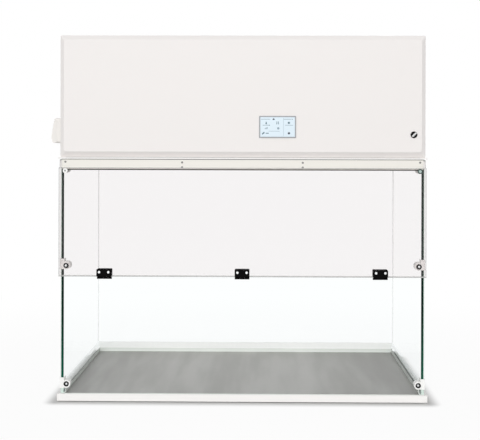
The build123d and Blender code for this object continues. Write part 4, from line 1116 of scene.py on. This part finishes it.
class HOOD_OT_add_panel_screws(HoodPiece, bpy.types.Operator):
    """Add the socket screws round the edge of the back panel."""

    bl_idname = "hood.add_panel_screws"
    bl_label = "Back panel screws"

    def execute(self, context):
        settings = context.scene.hood_trim
        lowest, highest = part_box("housing_back_panel")
        inset = settings.panel_screw_inset
        left, right = lowest.x + inset, highest.x - inset
        low, high = lowest.z + inset, highest.z - inset
        columns, rows = settings.panel_screw_columns, settings.panel_screw_rows
        places = []
        for column in range(columns):
            x = left + (right - left) * column / (columns - 1)
            places += [(x, low), (x, high)]
        for row in range(1, rows - 1):
            z = low + (high - low) * row / (rows - 1)
            places += [(left, z), (right, z)]
        radius = settings.panel_screw_radius
        height = settings.panel_screw_height
        socket = 0.42 * radius
        profile = (
            (0.0, radius),
            (0.45 * height, radius),
            (0.8 * height, 0.84 * radius),
            (height, 0.6 * radius),
            (height, socket),
            (0.4 * height, socket),
        )

        def with_socket(step, ring_radius, angle):
            """The last two rings are hexagons."""
            if step < len(profile) - 2:
                return ring_radius
            sixth = math.pi / 3
            return ring_radius * math.cos(sixth / 2) / math.cos(angle % sixth - sixth / 2)

        shape = bmesh.new()
        for x, z in places:
            add_lathe(shape, (x, highest.y, z), 1, profile, 24, with_socket)
        steel = bare_metal("panel_screw_steel", context.scene.hood_fittings.screw, 0.32)
        new_piece("back_panel_screws", shape, steel)
        return {"FINISHED"}


class HOOD_OT_set_stage(HoodPiece, bpy.types.Operator):
    """Set the camera, the light and the floor."""

    bl_idname = "hood.set_stage"
    bl_label = "Stage"

    def execute(self, context):
        settings = context.scene.hood_studio
        self.set_camera(context.scene, settings)
        self.set_light(context.scene, settings)
        self.set_floor(context.scene, settings)
        context.scene.view_settings.view_transform = "Standard"
        return {"FINISHED"}

    def set_camera(self, scene, settings):
        camera = bpy.data.objects.new("camera", bpy.data.cameras.new("camera"))
        scene.collection.objects.link(camera)
        camera.location = settings.camera_place
        level = Euler((math.pi / 2, 0, settings.camera_turn)).to_quaternion()
        camera.rotation_mode = "QUATERNION"
        camera.rotation_quaternion = level @ Quaternion((0, 0, 1), settings.camera_roll)
        camera.data.sensor_width = 36.0
        camera.data.lens = settings.lens
        camera.data.shift_x = settings.shift_x
        camera.data.shift_y = settings.shift_y
        camera.data.clip_end = 60.0
        scene.camera = camera

    def seen_white(self, nodes):
        """1 for what the eye sees directly, in a gleam or through glass."""
        camera = nodes.add("ShaderNodeLightPath", output="Is Camera Ray")
        return nodes.largest(camera, camera.other("Is Glossy Ray"), camera.other("Is Transmission Ray"))

    def set_light(self, scene, settings):
        world = bpy.data.worlds.new("studio")
        scene.world = world
        nodes = Nodes(world)
        direction = nodes.add("ShaderNodeTexCoord", output="Generated")
        level = nodes.add("ShaderNodeSeparateXYZ", inputs={0: direction}, output="Z")
        height = nodes.math("MAXIMUM", level, 0.0)
        strength = settings.sky - (settings.sky - settings.zenith) * height
        light = nodes.add("ShaderNodeBackground", inputs={"Color": WHITE, "Strength": strength})
        backdrop = nodes.add("ShaderNodeBackground", inputs={"Color": WHITE, "Strength": 1.0})
        nodes.show(nodes.mixed_shader(self.seen_white(nodes), light, backdrop))
        sun = bpy.data.lights.new("key", "SUN")
        sun.energy = settings.key
        sun.angle = settings.key_softness
        lamp = bpy.data.objects.new("key", sun)
        scene.collection.objects.link(lamp)
        lamp.rotation_euler = (math.pi / 2 - settings.key_height, 0, -settings.key_side)

    def set_floor(self, scene, settings):
        shape = bmesh.new()
        bmesh.ops.create_circle(shape, cap_ends=True, segments=96, radius=settings.floor_radius)
        mesh = bpy.data.meshes.new("floor")
        shape.to_mesh(mesh)
        shape.free()
        floor = bpy.data.objects.new("floor", mesh)
        scene.collection.objects.link(floor)
        nodes = new_finish("studio_floor")
        x, y, _ = nodes.place()
        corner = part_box("base_tray")[1]
        beside = nodes.math("MAXIMUM", abs(x) - corner.x, 0.0)
        before = nodes.math("MAXIMUM", abs(y) - corner.y, 0.0)
        distance = nodes.math("SQRT", beside * beside + before * before)
        # Painted shade: next to the hood the plain white is taken out of the floor, which deepens its real
        # shadow.
        clear = nodes.step(distance, 0.0, settings.floor_contact)
        faded = nodes.step(distance, settings.floor_contact, settings.floor_near)
        white_share = settings.floor_white * clear + (1 - settings.floor_white) * faded
        paper = nodes.principled(
            Base_Color=nodes.mix(nodes.noise(0.5, 2.0), shade(settings.floor, 0.99), settings.floor),
            Roughness=0.9,
            Specular_IOR_Level=0.1,
        )
        white = nodes.add("ShaderNodeEmission", inputs={"Strength": 1.0})
        mesh.materials.append(
            nodes.show(nodes.mixed_shader(white_share * self.seen_white(nodes), paper, white))
        )


# --- add-on

SETTINGS = {
    "hood_paint": HoodPaintSettings,
    "hood_worktop": HoodWorktopSettings,
    "hood_glass": HoodGlassSettings,
    "hood_fittings": HoodFittingSettings,
    "hood_inner": HoodInnerSettings,
    "hood_controls": HoodControlSettings,
    "hood_trim": HoodTrimSettings,
    "hood_studio": HoodStudioSettings,
}

PIECES = (
    HOOD_OT_set_stage,
    HOOD_OT_paint_sheet_metal,
    HOOD_OT_finish_worktop,
    HOOD_OT_glaze_chamber,
    HOOD_OT_finish_hinges,
    HOOD_OT_finish_brackets,
    HOOD_OT_finish_lamps,
    HOOD_OT_finish_filter,
    HOOD_OT_finish_fans,
    HOOD_OT_finish_controls,
    HOOD_OT_draw_screen_marks,
    HOOD_OT_add_lip_seal,
    HOOD_OT_add_joint_seal,
    HOOD_OT_add_corner_seals,
    HOOD_OT_add_panel_screws,
)


class HOOD_PT_pieces(bpy.types.Panel):
    """The hood's pieces and settings, in the sidebar."""

    bl_idname = "HOOD_PT_pieces"
    bl_label = "Laminar flow hood"
    bl_space_type = "VIEW_3D"
    bl_region_type = "UI"
    bl_category = "Hood"

    def draw(self, context):
        for piece in PIECES:
            self.layout.operator(piece.bl_idname)
        for name, group in SETTINGS.items():
            box = self.layout.box()
            box.label(text=group.__doc__)
            for setting in group.__annotations__:
                box.prop(getattr(context.scene, name), setting)


def register():
    for name, group in SETTINGS.items():
        bpy.utils.register_class(group)
        setattr(bpy.types.Scene, name, bpy.props.PointerProperty(type=group))
    for piece in PIECES:
        bpy.utils.register_class(piece)
    bpy.utils.register_class(HOOD_PT_pieces)


def unregister():
    bpy.utils.unregister_class(HOOD_PT_pieces)
    for piece in reversed(PIECES):
        bpy.utils.unregister_class(piece)
    for name, group in SETTINGS.items():
        delattr(bpy.types.Scene, name)
        bpy.utils.unregister_class(group)


def main():
    """Register the classes and make each piece."""
    register()
    for piece in PIECES:
        group, action = piece.bl_idname.split(".")
        getattr(getattr(bpy.ops, group), action)()


if __name__ == "__main__":
    main()
